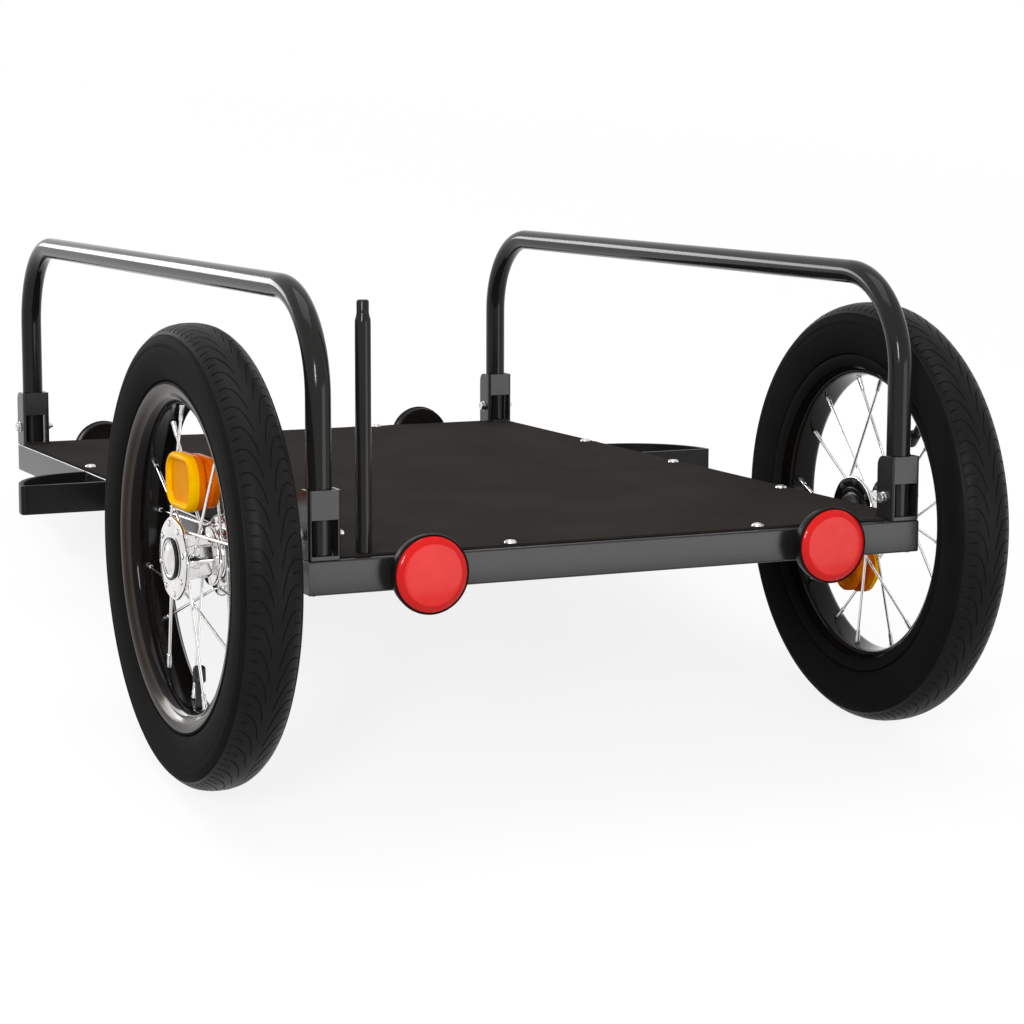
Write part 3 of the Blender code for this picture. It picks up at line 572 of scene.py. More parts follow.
def build_welds():
    """Beads where the tubes and the guards are joined."""
    shape = Shape()
    low, inside = -RAIL, HALF_WIDTH - RAIL
    for y in CROSSMEMBERS.values():
        for side in (-1, 1):
            for edge in (-RAIL_MIDDLE, RAIL_MIDDLE):
                corner = side * (inside - 0.0005)
                shape.bead([(corner, y + edge, -0.003), (corner, y + edge, low + 0.002)], 0.0019)
            shape.bead([(corner, y - RAIL_MIDDLE + 0.002, low), (corner, y + RAIL_MIDDLE - 0.002, low)], 0.0016)
    for side in (-1, 1):
        for y, forward in ((0.0, 1), (FRAME_LENGTH, -1)):
            seam = [(side * (HALF_WIDTH - 0.005), y + forward * 0.005, low), (side * inside, y + forward * RAIL, low)]
            shape.bead(seam, 0.0013)
            seam = [(side * inside, y + forward * RAIL, -0.002), (side * inside, y + forward * RAIL, low + 0.002)]
            shape.bead(seam, 0.002)
    for side in (-1, 1):
        edge = side * (SOCKET_SIZE / 2 - 0.001)
        for y in (FRAME_LENGTH - RAIL_MIDDLE, CROSSMEMBERS["socket"]):
            seam = [(edge + side * 0.001, y - 0.011, low - 0.0004), (edge + side * 0.001, y + 0.011, low - 0.0004)]
            shape.bead(seam, 0.0019)
        for y in (GUARD_Y + 0.002, GUARD_Y + GUARD_REACH - 0.002):
            for offset in (-0.0024, 0.0024):
                seam = [(side * HALF_WIDTH, y + offset, -0.0025), (side * HALF_WIDTH, y + offset, low + 0.0025)]
                shape.bead(seam, 0.0013)
    add_piece("weld_beads", shape, "steel", "chassis", smooth=60.0)


def bracket_plan(inset):
    """The channel's plan from its left front edge round to its right one, as (x, y), at this depth in the plate."""
    fold = 0.0024
    side, rear = RAIL_MIDDLE - inset, inset
    drop = [BRACKET_DEPTH - BRACKET_CORNER * (1 - math.cos(math.radians(a))) for a in range(0, 91, 15)]
    levels = [*drop, 0.009, 0.006]
    left = [(-side, y) for y in levels]
    left += arc(-RAIL_MIDDLE + fold, fold, fold - inset, 180, 270, 6)
    web = [(x, rear) for x in (-WINDOW_HALF, -0.006, 0.0, 0.006, WINDOW_HALF)]
    right = [(-x, y) for x, y in reversed(left)]
    return left + web + right, len(left)


def build_bracket(name, side, rear_y):
    """A folded channel with rounded folds, a window behind the hoop's foot, and a base plate."""
    outer, web_start = bracket_plan(0.0)
    inner, _ = bracket_plan(BRACKET_PLATE)
    levels = [GAP, WINDOW_FLOOR, 0.016, WINDOW_TOP, 0.036, GAP + BRACKET_HEIGHT]
    skins = []
    for plan in (outer, inner):
        skin = []
        for (x, _), (_, y) in zip(plan, outer):
            over = max(0.0, (y - BRACKET_DEPTH) / BRACKET_CORNER + 1)
            drop = BRACKET_CORNER * (1 - math.sqrt(max(0.0, 1 - over * over)))
            top = GAP + BRACKET_HEIGHT - drop
            share = (top - WINDOW_TOP) / (GAP + BRACKET_HEIGHT - WINDOW_TOP)
            column = [z if z <= WINDOW_TOP else WINDOW_TOP + (z - WINDOW_TOP) * share for z in levels]
            skin.append((x, column))
        skins.append([[(x, plan[i][1], z) for z in column] for i, (x, column) in enumerate(skin)])
    columns, rows = len(outer) - 1, len(levels) - 1
    window = {(c, r) for c in range(web_start, web_start + 4) for r in (1, 2)}
    cells = {(c, r) for c in range(columns) for r in range(rows)} - window
    shape = Shape()
    index = {}
    for s, skin in enumerate(skins):
        for c, column in enumerate(skin):
            for r, (x, y, z) in enumerate(column):
                index[s, c, r] = len(shape.points)
                shape.points.append((side * HOOP_X + x, rear_y + y, z))
    for c, r in cells:
        for s in (0, 1):
            shape.faces.append(tuple(index[s, c + a, r + b] for a, b in ((0, 0), (1, 0), (1, 1), (0, 1))))
        walls = (((c - 1, r), (0, 0), (0, 1)), ((c + 1, r), (1, 0), (1, 1)))
        walls += (((c, r - 1), (0, 0), (1, 0)), ((c, r + 1), (0, 1), (1, 1)))
        for neighbour, a, b in walls:
            if neighbour not in cells:
                first, second = (c + a[0], r + a[1]), (c + b[0], r + b[1])
                shape.faces.append((index[(0, *first)], index[(0, *second)], index[(1, *second)], index[(1, *first)]))
    used = sorted({i for face in shape.faces for i in face})
    renumbered = {old: new for new, old in enumerate(used)}
    shape.points = [shape.points[i] for i in used]
    shape.faces = [tuple(renumbered[i] for i in face) for face in shape.faces]
    inside = RAIL_MIDDLE - BRACKET_PLATE + 0.0002
    plate = [(side * HOOP_X + x, rear_y + y) for x, y in ((-inside, BRACKET_PLATE), (inside, BRACKET_PLATE),
             (inside, BRACKET_DEPTH), (-inside, BRACKET_DEPTH))]
    shape.rings([[(x, y, z) for x, y in plate] for z in (GAP, GAP + BRACKET_BASE)])
    add_piece(name + "_folded", shape, "steel", "chassis", replaces=[name], bevel=0.0003)


def build_bracket_bolts():
    """The screw across each bracket that holds the hoop's foot: head to the left, nut to the right."""
    shape = Shape()
    z = 0.0175
    for side in (-1, 1):
        for rear_y in (0.0, FRAME_LENGTH - BRACKET_DEPTH):
            y = rear_y + FOOT_INSET
            head = hexagon(0.008)
            washer = [(0.0, 0), (0.0, 0.0046), (0.0007, 0.0048), (0.0009, 0.0046), (0.0009, 0)]
            shape.turned(washer, 32, about_x(side * HOOP_X - RAIL_MIDDLE, -1, y, z))
            profile = [(0.0009, 0), (0.0009, head), (0.0036, head), (0.0041, 0.0039), (0.0041, 0.0021), (0.0038, 0.0018), (0.0038, 0)]
            shape.turned(profile, 48, about_x(side * HOOP_X - RAIL_MIDDLE, -1, y, z))
            nut = hexagon(0.0062)
            end = [(0.0, 0), (0.0, 0.004), (0.0006, 0.004), (0.0006, nut), (0.0034, nut), (0.0036, 0.003), (0.0036, 0.002)]
            end += [(0.0058, 0.002), (0.0062, 0.0016), (0.0062, 0)]
            shape.turned(end, 48, about_x(side * HOOP_X + RAIL_MIDDLE, 1, y, z))
    add_piece("bracket_bolts", shape, "zinc", "chassis", smooth=30.0)


def build_hoop(name, side):
    """A bent tube with open feet."""
    rear, front = FOOT_INSET, FRAME_LENGTH - BRACKET_DEPTH + FOOT_INSET
    foot, bend = GAP * 2 + BRACKET_BASE, HOOP_HEIGHT - HOOP_BEND
    path = [(rear, foot)]
    path += arc(rear + HOOP_BEND, bend, HOOP_BEND, 180, 90, 24)
    path += arc(front - HOOP_BEND, bend, HOOP_BEND, 90, 0, 24)
    path.append((front, foot))
    rings = []
    for radius, order in ((HOOP_RADIUS - 0.00015, 1), (HOOP_RADIUS - HOOP_WALL, -1)):
        skin = []
        for i, (y, z) in enumerate(path):
            before, after = path[max(i - 1, 0)], path[min(i + 1, len(path) - 1)]
            if i == 1:
                before = (y, z - 1.0)
            if i == len(path) - 2:
                after = (y, z - 1.0)
            if i in (25, 26):
                before, after = (y - 1.0, z), (y + 1.0, z)
            if i == 1:
                after = (y, z)
            if i == len(path) - 2:
                before = (y, z)
            along = Vector((after[0] - before[0], after[1] - before[1])).normalized()
            ring = []
            for k in range(40):
                turn = TURN * k / 40
                out = radius * math.cos(turn)
                ring.append((side * HOOP_X + radius * math.sin(turn), y - out * along.y, z + out * along.x))
            skin.append(ring)
        rings += skin[::order]
    shape = Shape()
    shape.rings(rings, closed=True)
    add_piece(name + "_tube", shape, "gloss", "chassis", replaces=[name])


def build_post():
    """The flag post: a round bar with a turned-down tip."""
    shoulder = POST_HEIGHT - POST_TIP_LENGTH
    r, tip = POST_RADIUS, POST_TIP_RADIUS
    profile = [(0.0, 0), (0.0, r), (0.004, r), (shoulder - 0.002, r), (shoulder, r - 0.0001), (shoulder + 0.003, tip + 0.0003)]
    profile += [(shoulder + 0.005, tip), (POST_HEIGHT - 0.0014, tip), (POST_HEIGHT - 0.0007, tip - 0.0003)]
    profile += [(POST_HEIGHT - 0.0002, tip - 0.0008), (POST_HEIGHT, tip - 0.0014), (POST_HEIGHT, 0)]
    shape = Shape()
    shape.turned(profile, 40, about_z(POST_X, RAIL_MIDDLE, 2 * GAP + DECK_THICKNESS))
    add_piece("flag_post_bar", shape, "gloss", "chassis", replaces=["flag_post"])


def build_guard(name, side):
    """A flat bar bent at its outer corner and round a quarter circle, back to the rail."""
    start_x = HALF_WIDTH + GAP
    skins = []
    for inset, fold in ((0.0, 0.004), (GUARD_BAR, 0.0008)):
        reach = GUARD_REACH - inset
        fold_v = inset + fold
        fold_u = math.sqrt((reach - fold) ** 2 - fold_v**2)
        first = math.degrees(math.atan2(fold_v, fold_u))
        skin = [(u, inset) for u in np.linspace(0.0, fold_u - 0.002, 6)]
        skin += arc(fold_u, fold_v, fold, -90, first, 8)
        skin += arc(0.0, 0.0, reach, first + 2.0, 90, 40)
        skins.append(skin)
    rings = []
    for (u, v), (iu, iv) in zip(*skins):
        outer, inner = (side * (start_x + u), GUARD_Y + v), (side * (start_x + iu), GUARD_Y + iv)
        rings.append([(*outer, -GUARD_HEIGHT), (*outer, 0.0), (*inner, 0.0), (*inner, -GUARD_HEIGHT)])
    shape = Shape()
    shape.rings(rings)
    add_piece(name + "_bar", shape, "satin", "chassis", replaces=[name], smooth=30.0, bevel=0.0006)


def build_reflector(name, x, y, facing, lens_finish):
    """A round reflector on a boss: a cup with a thin rolled bezel, and the lens that fills it."""
    place = about_y(x, y + facing * GAP, AXLE_Z, facing)
    radius, bezel, depth = REFLECTOR_RADIUS, REFLECTOR_RADIUS - REFLECTOR_BEZEL, REFLECTOR_DEPTH
    cup = [(0.0, 0), (0.0, 0.01), (0.0038, 0.01), (0.0042, 0.0105), (0.0042, bezel - 0.001), (0.0048, bezel - 0.0002)]
    cup += [(0.0062, radius - 0.0014), (0.0072, radius - 0.001), (depth - 0.0038, radius - 0.001), (depth - 0.003, radius)]
    cup += [(depth - 0.0012, radius), (depth - 0.0003, radius - 0.0003), (depth, radius - 0.0008)]
    cup += [(depth - 0.0002, bezel + 0.0002), (depth - 0.0006, bezel), (0.0115, bezel), (0.0115, 0)]
    shape = Shape()
    shape.turned(cup, 96, place)
    add_piece(name + "_cup", shape, "housing", "chassis", replaces=[name + "_housing"], smooth=35.0)
    edge = bezel - GAP
    face = depth + 0.0028
    glass = [(0.0118, 0), (0.0118, edge), (depth - 0.0002, edge), (depth + 0.0003, edge - 0.0004)]
    glass += [(depth + 0.0013, edge - 0.0018), (depth + 0.002, edge - 0.0034), (depth + 0.0025, edge - 0.0052)]
    glass += [(face, edge - 0.0072), (face, 0)]
    shape = Shape()
    shape.turned(glass, 96, place)
    middle = Vector((x, y, AXLE_Z))

    def choose(centre):
        return int(math.hypot(centre.x - middle.x, centre.z - middle.z) > edge - 0.0045)

    edges = {"others": ["red_edge"], "choose": choose} if lens_finish == "red" else {}
    add_piece(name + "_glass", shape, lens_finish, "chassis", replaces=[name + "_lens"], smooth=35.0, **edges)


SCREWS = [(-0.092, RAIL_MIDDLE), (0.117, RAIL_MIDDLE)]
SCREWS += [(side * 0.246, y) for side in (-1, 1) for y in (0.197, 0.389, 0.568)]
SCREWS += [(-0.11, FRAME_LENGTH - RAIL_MIDDLE), (0.11, FRAME_LENGTH - RAIL_MIDDLE)]


def cloth_lift(x, y):
    """How far the stretched cloth stands off its level, in metres: slack between the tubes, puckers at the screws."""
    tubes = [RAIL_MIDDLE, *CROSSMEMBERS.values(), FRAME_LENGTH - RAIL_MIDDLE]
    gap = min(abs(y - t) for t in tubes)
    across = max(0.0, 1 - (abs(x) / (HALF_WIDTH - RAIL)) ** 4)
    slack = across * min(1.0, gap / 0.08) ** 2
    wave = 0.35 * math.sin(21 * x + 7 * y) + 0.3 * math.sin(33 * x - 19 * y + 1.3) + 0.25 * math.sin(11 * x + 37 * y)
    lift = slack * (-0.0011 + 0.0006 * wave)
    for sx, sy in SCREWS:
        distance = math.hypot(x - sx, y - sy)
        lift -= 0.0005 * math.exp(-((distance / 0.007) ** 2))
        pull = math.exp(-((distance - 0.016) / 0.012) ** 2)
        lift += 0.00022 * pull * math.sin(7 * math.atan2(y - sy, x - sx) + 3 * sx)
    return lift


def build_deck():
    """The stretched cloth, cut away at its corners round the brackets."""
    edge = HALF_WIDTH - DECK_SIDE_INSET + 0.0006
    notch_x = HALF_WIDTH - RAIL - DECK_NOTCH_CLEARANCE
    notch = BRACKET_DEPTH + DECK_NOTCH_CLEARANCE
    front, rear = FRAME_LENGTH - DECK_END_INSET, DECK_END_INSET
    xs = [*np.linspace(-edge, -notch_x, 8), *np.linspace(-notch_x, notch_x, 116)[1:-1], *np.linspace(notch_x, edge, 8)]
    ys = [*np.linspace(rear, notch, 6), *np.linspace(notch, FRAME_LENGTH - notch, 186)[1:-1]]
    ys += [*np.linspace(FRAME_LENGTH - notch, front, 6)]
    low, high = GAP, GAP + 0.0016
    columns, rows = len(xs), len(ys)
    cells = set()
    for i in range(columns - 1):
        for j in range(rows - 1):
            x, y = (xs[i] + xs[i + 1]) / 2, (ys[j] + ys[j + 1]) / 2
            if abs(x) < notch_x or notch < y < FRAME_LENGTH - notch:
                cells.add((i, j))
    index, points, faces = {}, [], []

    def point(level, i, j):
        if (level, i, j) not in index:
            index[level, i, j] = len(points)
            x, y = float(xs[i]), float(ys[j])
            points.append((x, y, (low, high)[level] + cloth_lift(x, y)))
        return index[level, i, j]

    for i, j in sorted(cells):
        corners = ((i, j), (i + 1, j), (i + 1, j + 1), (i, j + 1))
        faces.append(tuple(point(1, *c) for c in corners))
        faces.append(tuple(point(0, *c) for c in reversed(corners)))
        around = (((i, j - 1), 0, 1), ((i + 1, j), 1, 2), ((i, j + 1), 2, 3), ((i - 1, j), 3, 0))
        for neighbour, a, b in around:
            if neighbour not in cells:
                faces.append((point(0, *corners[a]), point(0, *corners[b]), point(1, *corners[b]), point(1, *corners[a])))
    shape = Shape()
    shape.points, shape.faces = points, faces
    deck = add_piece("deck_cloth_sheet", shape, "cloth", "chassis", replaces=["deck"], smooth=50.0)


def build_screws():
    """Pan-head screws that hold the cloth down, each with a cross recess."""
    shape = Shape()
    for x, y in SCREWS:
        place = about_z(x, y, GAP + 0.0016 + cloth_lift(x, y) + 0.0002)
        head = [(0.0, 0), (0.0, 0.0046), (0.0004, 0.0048), (0.0012, 0.0046), (0.0019, 0.004), (0.0023, 0.0031)]
        head += [(0.0024, 0.0025), (0.0024, cross_recess), (0.0009, lambda angle: 0.85 * cross_recess(angle)), (0.0009, 0)]
        shape.turned(head, 48, place)
    add_piece("deck_screws", shape, "zinc", "chassis", smooth=30.0)


# The wheels


def wheel_place(side, turn):
    """Places a point of a wheel, about its middle. Along is counted outwards."""

    def place(along, radius, angle):
        return (side * along, radius * math.cos(angle + turn), radius * math.sin(angle + turn))

    return place


def build_axle(name, side):
    """A stub axle through the side rail: nut and washer inside, collar outside, and a domed end in the hub's seal."""
    place = about_x(side * WHEEL_X, side, WHEEL_Y, AXLE_Z)
    outer = -(WHEEL_X - HALF_WIDTH) + GAP
    inner = outer - RAIL - 2 * GAP
    start, hub_end = inner - 0.007, HUB_END + DUST_CAP_LENGTH
    nut = hexagon(0.0168)
    shape = Shape()
    shape.turned([(inner - 0.0012, 0), (inner - 0.0012, 0.0104), (inner, 0.0108), (inner, 0)], 48, place)
    profile = [(start, 0), (start, 0.0062), (start + 0.0003, 0.0078), (start + 0.0011, nut), (inner - 0.0012, nut)]
    shape.turned([*profile, (inner - 0.0012, 0)], 60, place)
    shape.turned([(start, 0), (start, 0.006), (outer, 0.006), (outer, 0)], 40, place)
    collar = [(outer, 0), (outer, 0.0094), (outer + 0.0006, 0.01), (-hub_end - 0.0012, 0.01), (-hub_end - 0.0006, 0.0094)]
    shape.turned([*collar, (-hub_end - 0.0006, 0)], 48, place)
    shape.turned([(-hub_end - 0.001, 0), (-hub_end - 0.001, 0.006), (HUB_END + 0.001, 0.006), (HUB_END + 0.001, 0)], 32, place)
    low, dome, height = HUB_END + 0.0006, DOME_RADIUS, 0.0024
    cap = [(low, 0), (low, dome - 0.0003), (low + 0.0003, dome), (hub_end - 0.0004, dome), (hub_end - 0.0002, dome - 0.0006)]
    cap += [(hub_end - 0.0002, dome - 0.0022), (hub_end, dome - 0.0024)]
    cap += [(hub_end + height * math.sin(math.radians(a)), (dome - 0.0024) * math.cos(math.radians(a))) for a in range(10, 90, 10)]
    shape.turned([*cap, (hub_end + height, 0)], 64, place)
    add_piece(name + "_turned", shape, "chrome", "chassis", replaces=[name], smooth=30.0)


def tread_shift(u):
    """How far round the tyre, in metres, a groove runs on its way in from the shoulder to this place."""
    hook = 0.0016 * min(max((u - 0.0155) / 0.0025, 0.0), 1.0) ** 2
    return hook + 0.025 * min(max((0.0172 - u) / 0.0142, 0.0), 1.0) ** 3.0


def build_tyre(name, side, turn):
    """The tyre, with its grooves cut into the mesh. The columns of points follow the grooves round the tyre."""
    periods = 60
    pitch = TURN * WHEEL_RADIUS / periods
    crown = [(0.0, 0.1738), (0.005, 0.1736), (0.01, 0.1726), (0.013, 0.1715), (0.017, 0.169), (0.0198, 0.166)]
    wall = [(0.0172, 0.1257), (0.0173, 0.1313), (0.0183, 0.1322), (0.0195, 0.1325), (0.0207, 0.1352), (0.0218, 0.139)]
    wall += [(0.0226, 0.1435), (0.023, 0.1475), (0.0233, 0.152), (0.0233, 0.1553), (0.0231, 0.1564), (0.0231, 0.1569)]
    wall += [(0.0234, 0.158), (0.0231, 0.1598), (0.0225, 0.1622), (0.0214, 0.1645), (0.0204, 0.1658)]
    tread = [0.0198, 0.0194, 0.0188, 0.0176, 0.0164, 0.0152, 0.014, 0.0128, 0.0117, 0.0107, 0.0097, 0.0088, 0.0079]
    tread += [0.0071, 0.0063, 0.0056, 0.0049, 0.0042, 0.0036, 0.0031, 0.0027, 0.0014, 0.0]
    rows = [(u, r, (0.0, 0.0), 0.0, 1.0) for u, r in wall]
    for u in tread:
        long_depth = np.interp(u, [0.0029, 0.0036, 0.0174, 0.0182], [0.0, 1.0, 1.0, 0.0])
        short_depth = np.interp(u, [0.0118, 0.0128, 0.0174, 0.0182], [0.0, 1.0, 1.0, 0.0])
        deep = np.interp(u, [0.012, 0.016], [0.0008, 0.0011])
        slope = (tread_shift(u - 0.0004) - tread_shift(u + 0.0004)) / 0.0008
        wide = min(math.hypot(1.0, slope), 3.2) * np.interp(u, [0.012, 0.016], [1.0, 1.25])
        rows.append((u, np.interp(u, *zip(*crown)), (deep * long_depth, deep * short_depth), tread_shift(u), wide))
    offsets = np.array([-0.00125, -0.0006, -0.0003, 0.0003, 0.0006, 0.00125])
    bottom = np.array([0.0, 0.0, 1.0, 1.0, 0.0, 0.0])
    starts = np.arange(periods)[:, None] * pitch
    grid = []
    for (u, r, depths, shift, wide), half in [(row, 1) for row in rows] + [(row, -1) for row in rows[-2::-1]]:
        first, second = shift + offsets * wide, shift + pitch / 2 + offsets * wide
        gaps = [low[-1] + (high - low[-1]) * np.array([0.25, 0.5, 0.75]) for low, high in
                ((first, second[0]), (second, first[0] + pitch))]
        columns = np.concatenate([first, gaps[0], second, gaps[1]])
        cut = np.concatenate([bottom * depths[0], np.zeros(3), bottom * depths[1], np.zeros(3)])
        angles = (starts + columns + half * pitch / 4).ravel() / WHEEL_RADIUS + turn
        radii = r - np.tile(cut, periods)
        grid.append(np.stack([np.full_like(angles, side * half * u), radii * np.cos(angles), radii * np.sin(angles)], 1))
    angles = np.linspace(0, TURN, len(grid[0]), endpoint=False) + turn
    grid.append(np.stack([np.zeros_like(angles), 0.1302 * np.cos(angles), 0.1302 * np.sin(angles)], 1))
    around, count = len(grid[0]), len(grid)
    i, j = np.meshgrid(np.arange(count), np.arange(around), indexing="ij")
    next_i, next_j = (i + 1) % count, (j + 1) % around
    faces = np.stack([i * around + j, i * around + next_j, next_i * around + next_j, next_i * around + j], -1)
    shape = Shape()
    shape.points, shape.faces = np.concatenate(grid).tolist(), faces.reshape(-1, 4).tolist()

    def choose(centre):
        return int(math.hypot(centre.y, centre.z) < 0.1655)

    look = {"others": ["wall"], "choose": choose}
    add_piece(name + "_treaded", shape, "tyre", wheel_body(name), wheel_matrix(side), [name], smooth=38.0, **look)


def build_rim(name, side, place):
    """A wide rim: rolled lips over the tyre's beads, narrow side walls, and a wide glossy spoke bed inside a crease."""
    half = [(0.0175, 0.1255), (0.0175, 0.1302), (0.0177, 0.1307), (0.0183, 0.131), (0.019, 0.1308), (0.0195, 0.1302)]
    half += [(0.0196, 0.1292), (0.0194, 0.1272), (0.0189, 0.1252), (0.0181, 0.1234), (0.0169, 0.1215), (0.0157, 0.12)]
    half += [(0.0152, 0.1192), (0.015, 0.1186), (0.0142, 0.1174), (0.0128, 0.1161), (0.0108, 0.1151), (0.008, 0.1144)]
    half.append((0.0, 0.114))
    shape = Shape()
    shape.turned(half + [(-u, r) for u, r in reversed(half[:-1])], 180, place)

    # The outboard crease takes the painted highlight. The inboard wall and both rolled lips take the black tyre-wall
    # rubber: painted shade over the rim's alloy.
    def choose(centre):
        radius = math.hypot(centre.y, centre.z)
        if radius < 0.121:
            return 3 if radius > 0.1186 and side * centre.x > 0 else 1
        return 2 * int(side * centre.x < 0 or radius > 0.1285)

    look = {"others": ["rim_bed", "wall", "rim_crease"], "choose": choose}
    add_piece(name + "_rolled", shape, "rim", wheel_body(name), wheel_matrix(side), [name], smooth=35.0, **look)


def spoke_run(index):
    """How one spoke runs: its flange, the angles of its two ends, and how far it stands off its flange."""
    pitch = TURN / SPOKE_COUNT
    flange = 1 if index % 2 else -1
    pull = 1 if (index // 2) % 2 else -1
    rim_angle = (index + 0.5) * pitch
    reach = 0.0014 if pull > 0 else 0.0046
    return flange, rim_angle, rim_angle - pull * 2 * pitch, reach


def build_spokes(side_name, side, place):
    """Sixteen crossed spokes: a domed head, an elbow, the wire, and a nipple that ends in the rim."""
    wires, nipples = Shape(), Shape()
    for index in range(SPOKE_COUNT):
        flange, rim_angle, hub_angle, reach = spoke_run(index)
        face = FLANGE_OFFSET + FLANGE_HALF

        def local(along, radius, angle):
            return Vector(place(flange * along, radius, angle))

        elbow = local(FLANGE_OFFSET - FLANGE_HALF - reach, SPOKE_CIRCLE, hub_angle)
        end = local(NIPPLE_OFFSET, RIM_RADIUS - RIM_DEPTH - 0.0004, rim_angle)
        along = (end - elbow).normalized()
        nipple_start = end - NIPPLE_LENGTH * along
        straight = local(FLANGE_OFFSET - FLANGE_HALF - reach * 0.2, SPOKE_CIRCLE, hub_angle)
        leaving = elbow + 0.0022 * along
        bend = [straight.lerp(elbow, t).lerp(elbow.lerp(leaving, t), t) for t in (0.0, 0.25, 0.5, 0.75, 1.0)]
        head = [(0.0011, 0.0003), (0.001, 0.0009), (0.0007, 0.0014), (0.0003, 0.0016), (0.0002, 0.0025), (-0.0002, 0.0025)]
        head.append((-0.0004, 0.0012))
        path = [local(face + out, SPOKE_CIRCLE, hub_angle) for out, _ in head]
        radii = [r for _, r in head]
        path += [local(face - 0.001, SPOKE_CIRCLE, hub_angle), *bend, nipple_start + 0.004 * along]
        radii += [SPOKE_RADIUS] * 7
        wires.swept(path, radii, 12)
        r = NIPPLE_RADIUS
        stations = [(0.0, 0.0014), (0.0004, 0.0017), (0.0055, 0.0017), (0.0061, 0.0019), (0.0098, 0.0019), (0.0105, r), (NIPPLE_LENGTH, r)]
        nipples.swept([nipple_start + t * along for t, _ in stations], [radius for _, radius in stations], 12)

    # Faces within 0.3 mm outside the outer flange's face, round the foot of each head, take black rubber: a painted
    # shadow of the spoke hole. The heads past the inboard flange's face take black rubber too.
    def choose(centre):
        out = side * centre.x - FLANGE_OFFSET - FLANGE_HALF
        return int(0.0 < out < 0.0003 or side * centre.x < -FLANGE_OFFSET - FLANGE_HALF)

    body = "wheel_" + side_name
    look = {"others": ["rubber"], "choose": choose}
    add_piece("spokes_" + side_name, wires, "chrome", body, wheel_matrix(side), smooth=50.0, **look)
    add_piece("nipples_" + side_name, nipples, "zinc", body, wheel_matrix(side), smooth=35.0)


def build_hub(name, side, place):
    """The hub shell: two flat flanges, a polished eight-sided barrel between them, and a drum beside the inner one."""

    def lobed(radius, first):
        depth = 0.00025 * (radius / FLANGE_RADIUS) ** 4
        return lambda angle: radius - depth * (1 - math.cos(8 * (angle - first)))

    def eight_sided(angle):
        return min(0.01525 / math.cos((angle % (TURN / 8)) - TURN / 16), 0.0161)

    def flange(first, face):
        rim = [(0.02, lobed(0.0301, first)), (0.0198, lobed(0.0306, first)), (0.0194, lobed(0.0309, first))]
        rim += [(0.0184, lobed(0.031, first)), (0.0176, lobed(0.031, first)), (0.0167, lobed(0.0306, first))]
        rim += [(0.0162, lobed(0.03, first)), (0.016, lobed(0.0292, first)), (0.016, 0.0196), (0.0156, 0.0186)]
        return [(HUB_END, 0.0152), (HUB_END - 0.0001, 0.0158), (0.0202, 0.0165), *face, *rim, (0.0146, 0.018)]

    pitch = TURN / SPOKE_COUNT
    grooved = [(0.02, 0.0174), (0.0196, 0.0177), (0.0196, 0.0181), (0.02, 0.0184)]
    ringed = [(0.0199, 0.0172), (0.0199, 0.0198), (0.0203, 0.0201), (0.0206, 0.0206), (0.0206, 0.0212), (0.0203, 0.0217)]
    profile = [(HUB_END, 0.0066), *flange(1.5 * pitch, grooved)]
    profile += [(0.0095, 0.0176), (0.0085, 0.0172), (0.0035, 0.0162), (0.003, eight_sided), (-0.0072, eight_sided)]
    profile += [(-0.0078, 0.0172), (-0.0084, 0.0205), (-0.0087, 0.0217), (-0.0093, 0.022), (-0.0118, 0.022)]
    profile += [(-0.0124, 0.0217), (-0.0128, 0.0205), (-0.0134, 0.0186)]
    profile += [(-x, r) for x, r in reversed(flange(0.5 * pitch, [*ringed, (0.02, 0.022)]))] + [(-HUB_END, 0.0066)]
    shape = Shape()
    shape.turned(profile, 128, place)

    def choose(centre):
        return int(side * centre.x < -0.0195 and math.hypot(centre.y, centre.z) < 0.0296)

    look = {"others": ["rim_bed"], "choose": choose}
    add_piece(name + "_shell", shape, "chrome", wheel_body(name), wheel_matrix(side), [name], smooth=32.0, **look)


def build_dust_cap(name, side, place, direction):
    """A flat rubber seal at the hub's end, round the axle's dome outside and round the axle inside."""
    bore = DOME_RADIUS + 0.0006 if direction > 0 else 0.0066
    radius, start, end = DUST_CAP_RADIUS, HUB_END + GAP, HUB_END + GAP + DUST_CAP_LENGTH
    profile = [(start, bore), (start, radius), (end - 0.0006, radius), (end - 0.0002, radius - 0.0003), (end, radius - 0.0008)]
    profile += [(end, 0.0145), (end - 0.0003, 0.0143), (end - 0.0003, 0.0139), (end, 0.0137), (end, bore + 0.0008), (end - 0.0002, bore + 0.0003), (end - 0.0005, bore)]
    shape = Shape()
    shape.turned([(direction * x, r) for x, r in profile], 64, place)

    def choose(centre):
        return int(direction > 0 and math.hypot(centre.y, centre.z) < 0.0142)

    look = {"others": ["chrome"], "choose": choose}
    add_piece(name + "_seal", shape, "rubber", wheel_body(name), wheel_matrix(side), [name], smooth=35.0, **look)


def radial_place(place, angle, out):
    """Places a turned profile on a line that runs inwards from radius out at this angle of the wheel."""

    def put(along, radius, turn):
        r, side = out - along, radius * math.cos(turn)
        return place(radius * math.sin(turn), math.hypot(r, side), angle + math.atan2(side, r))

    return put


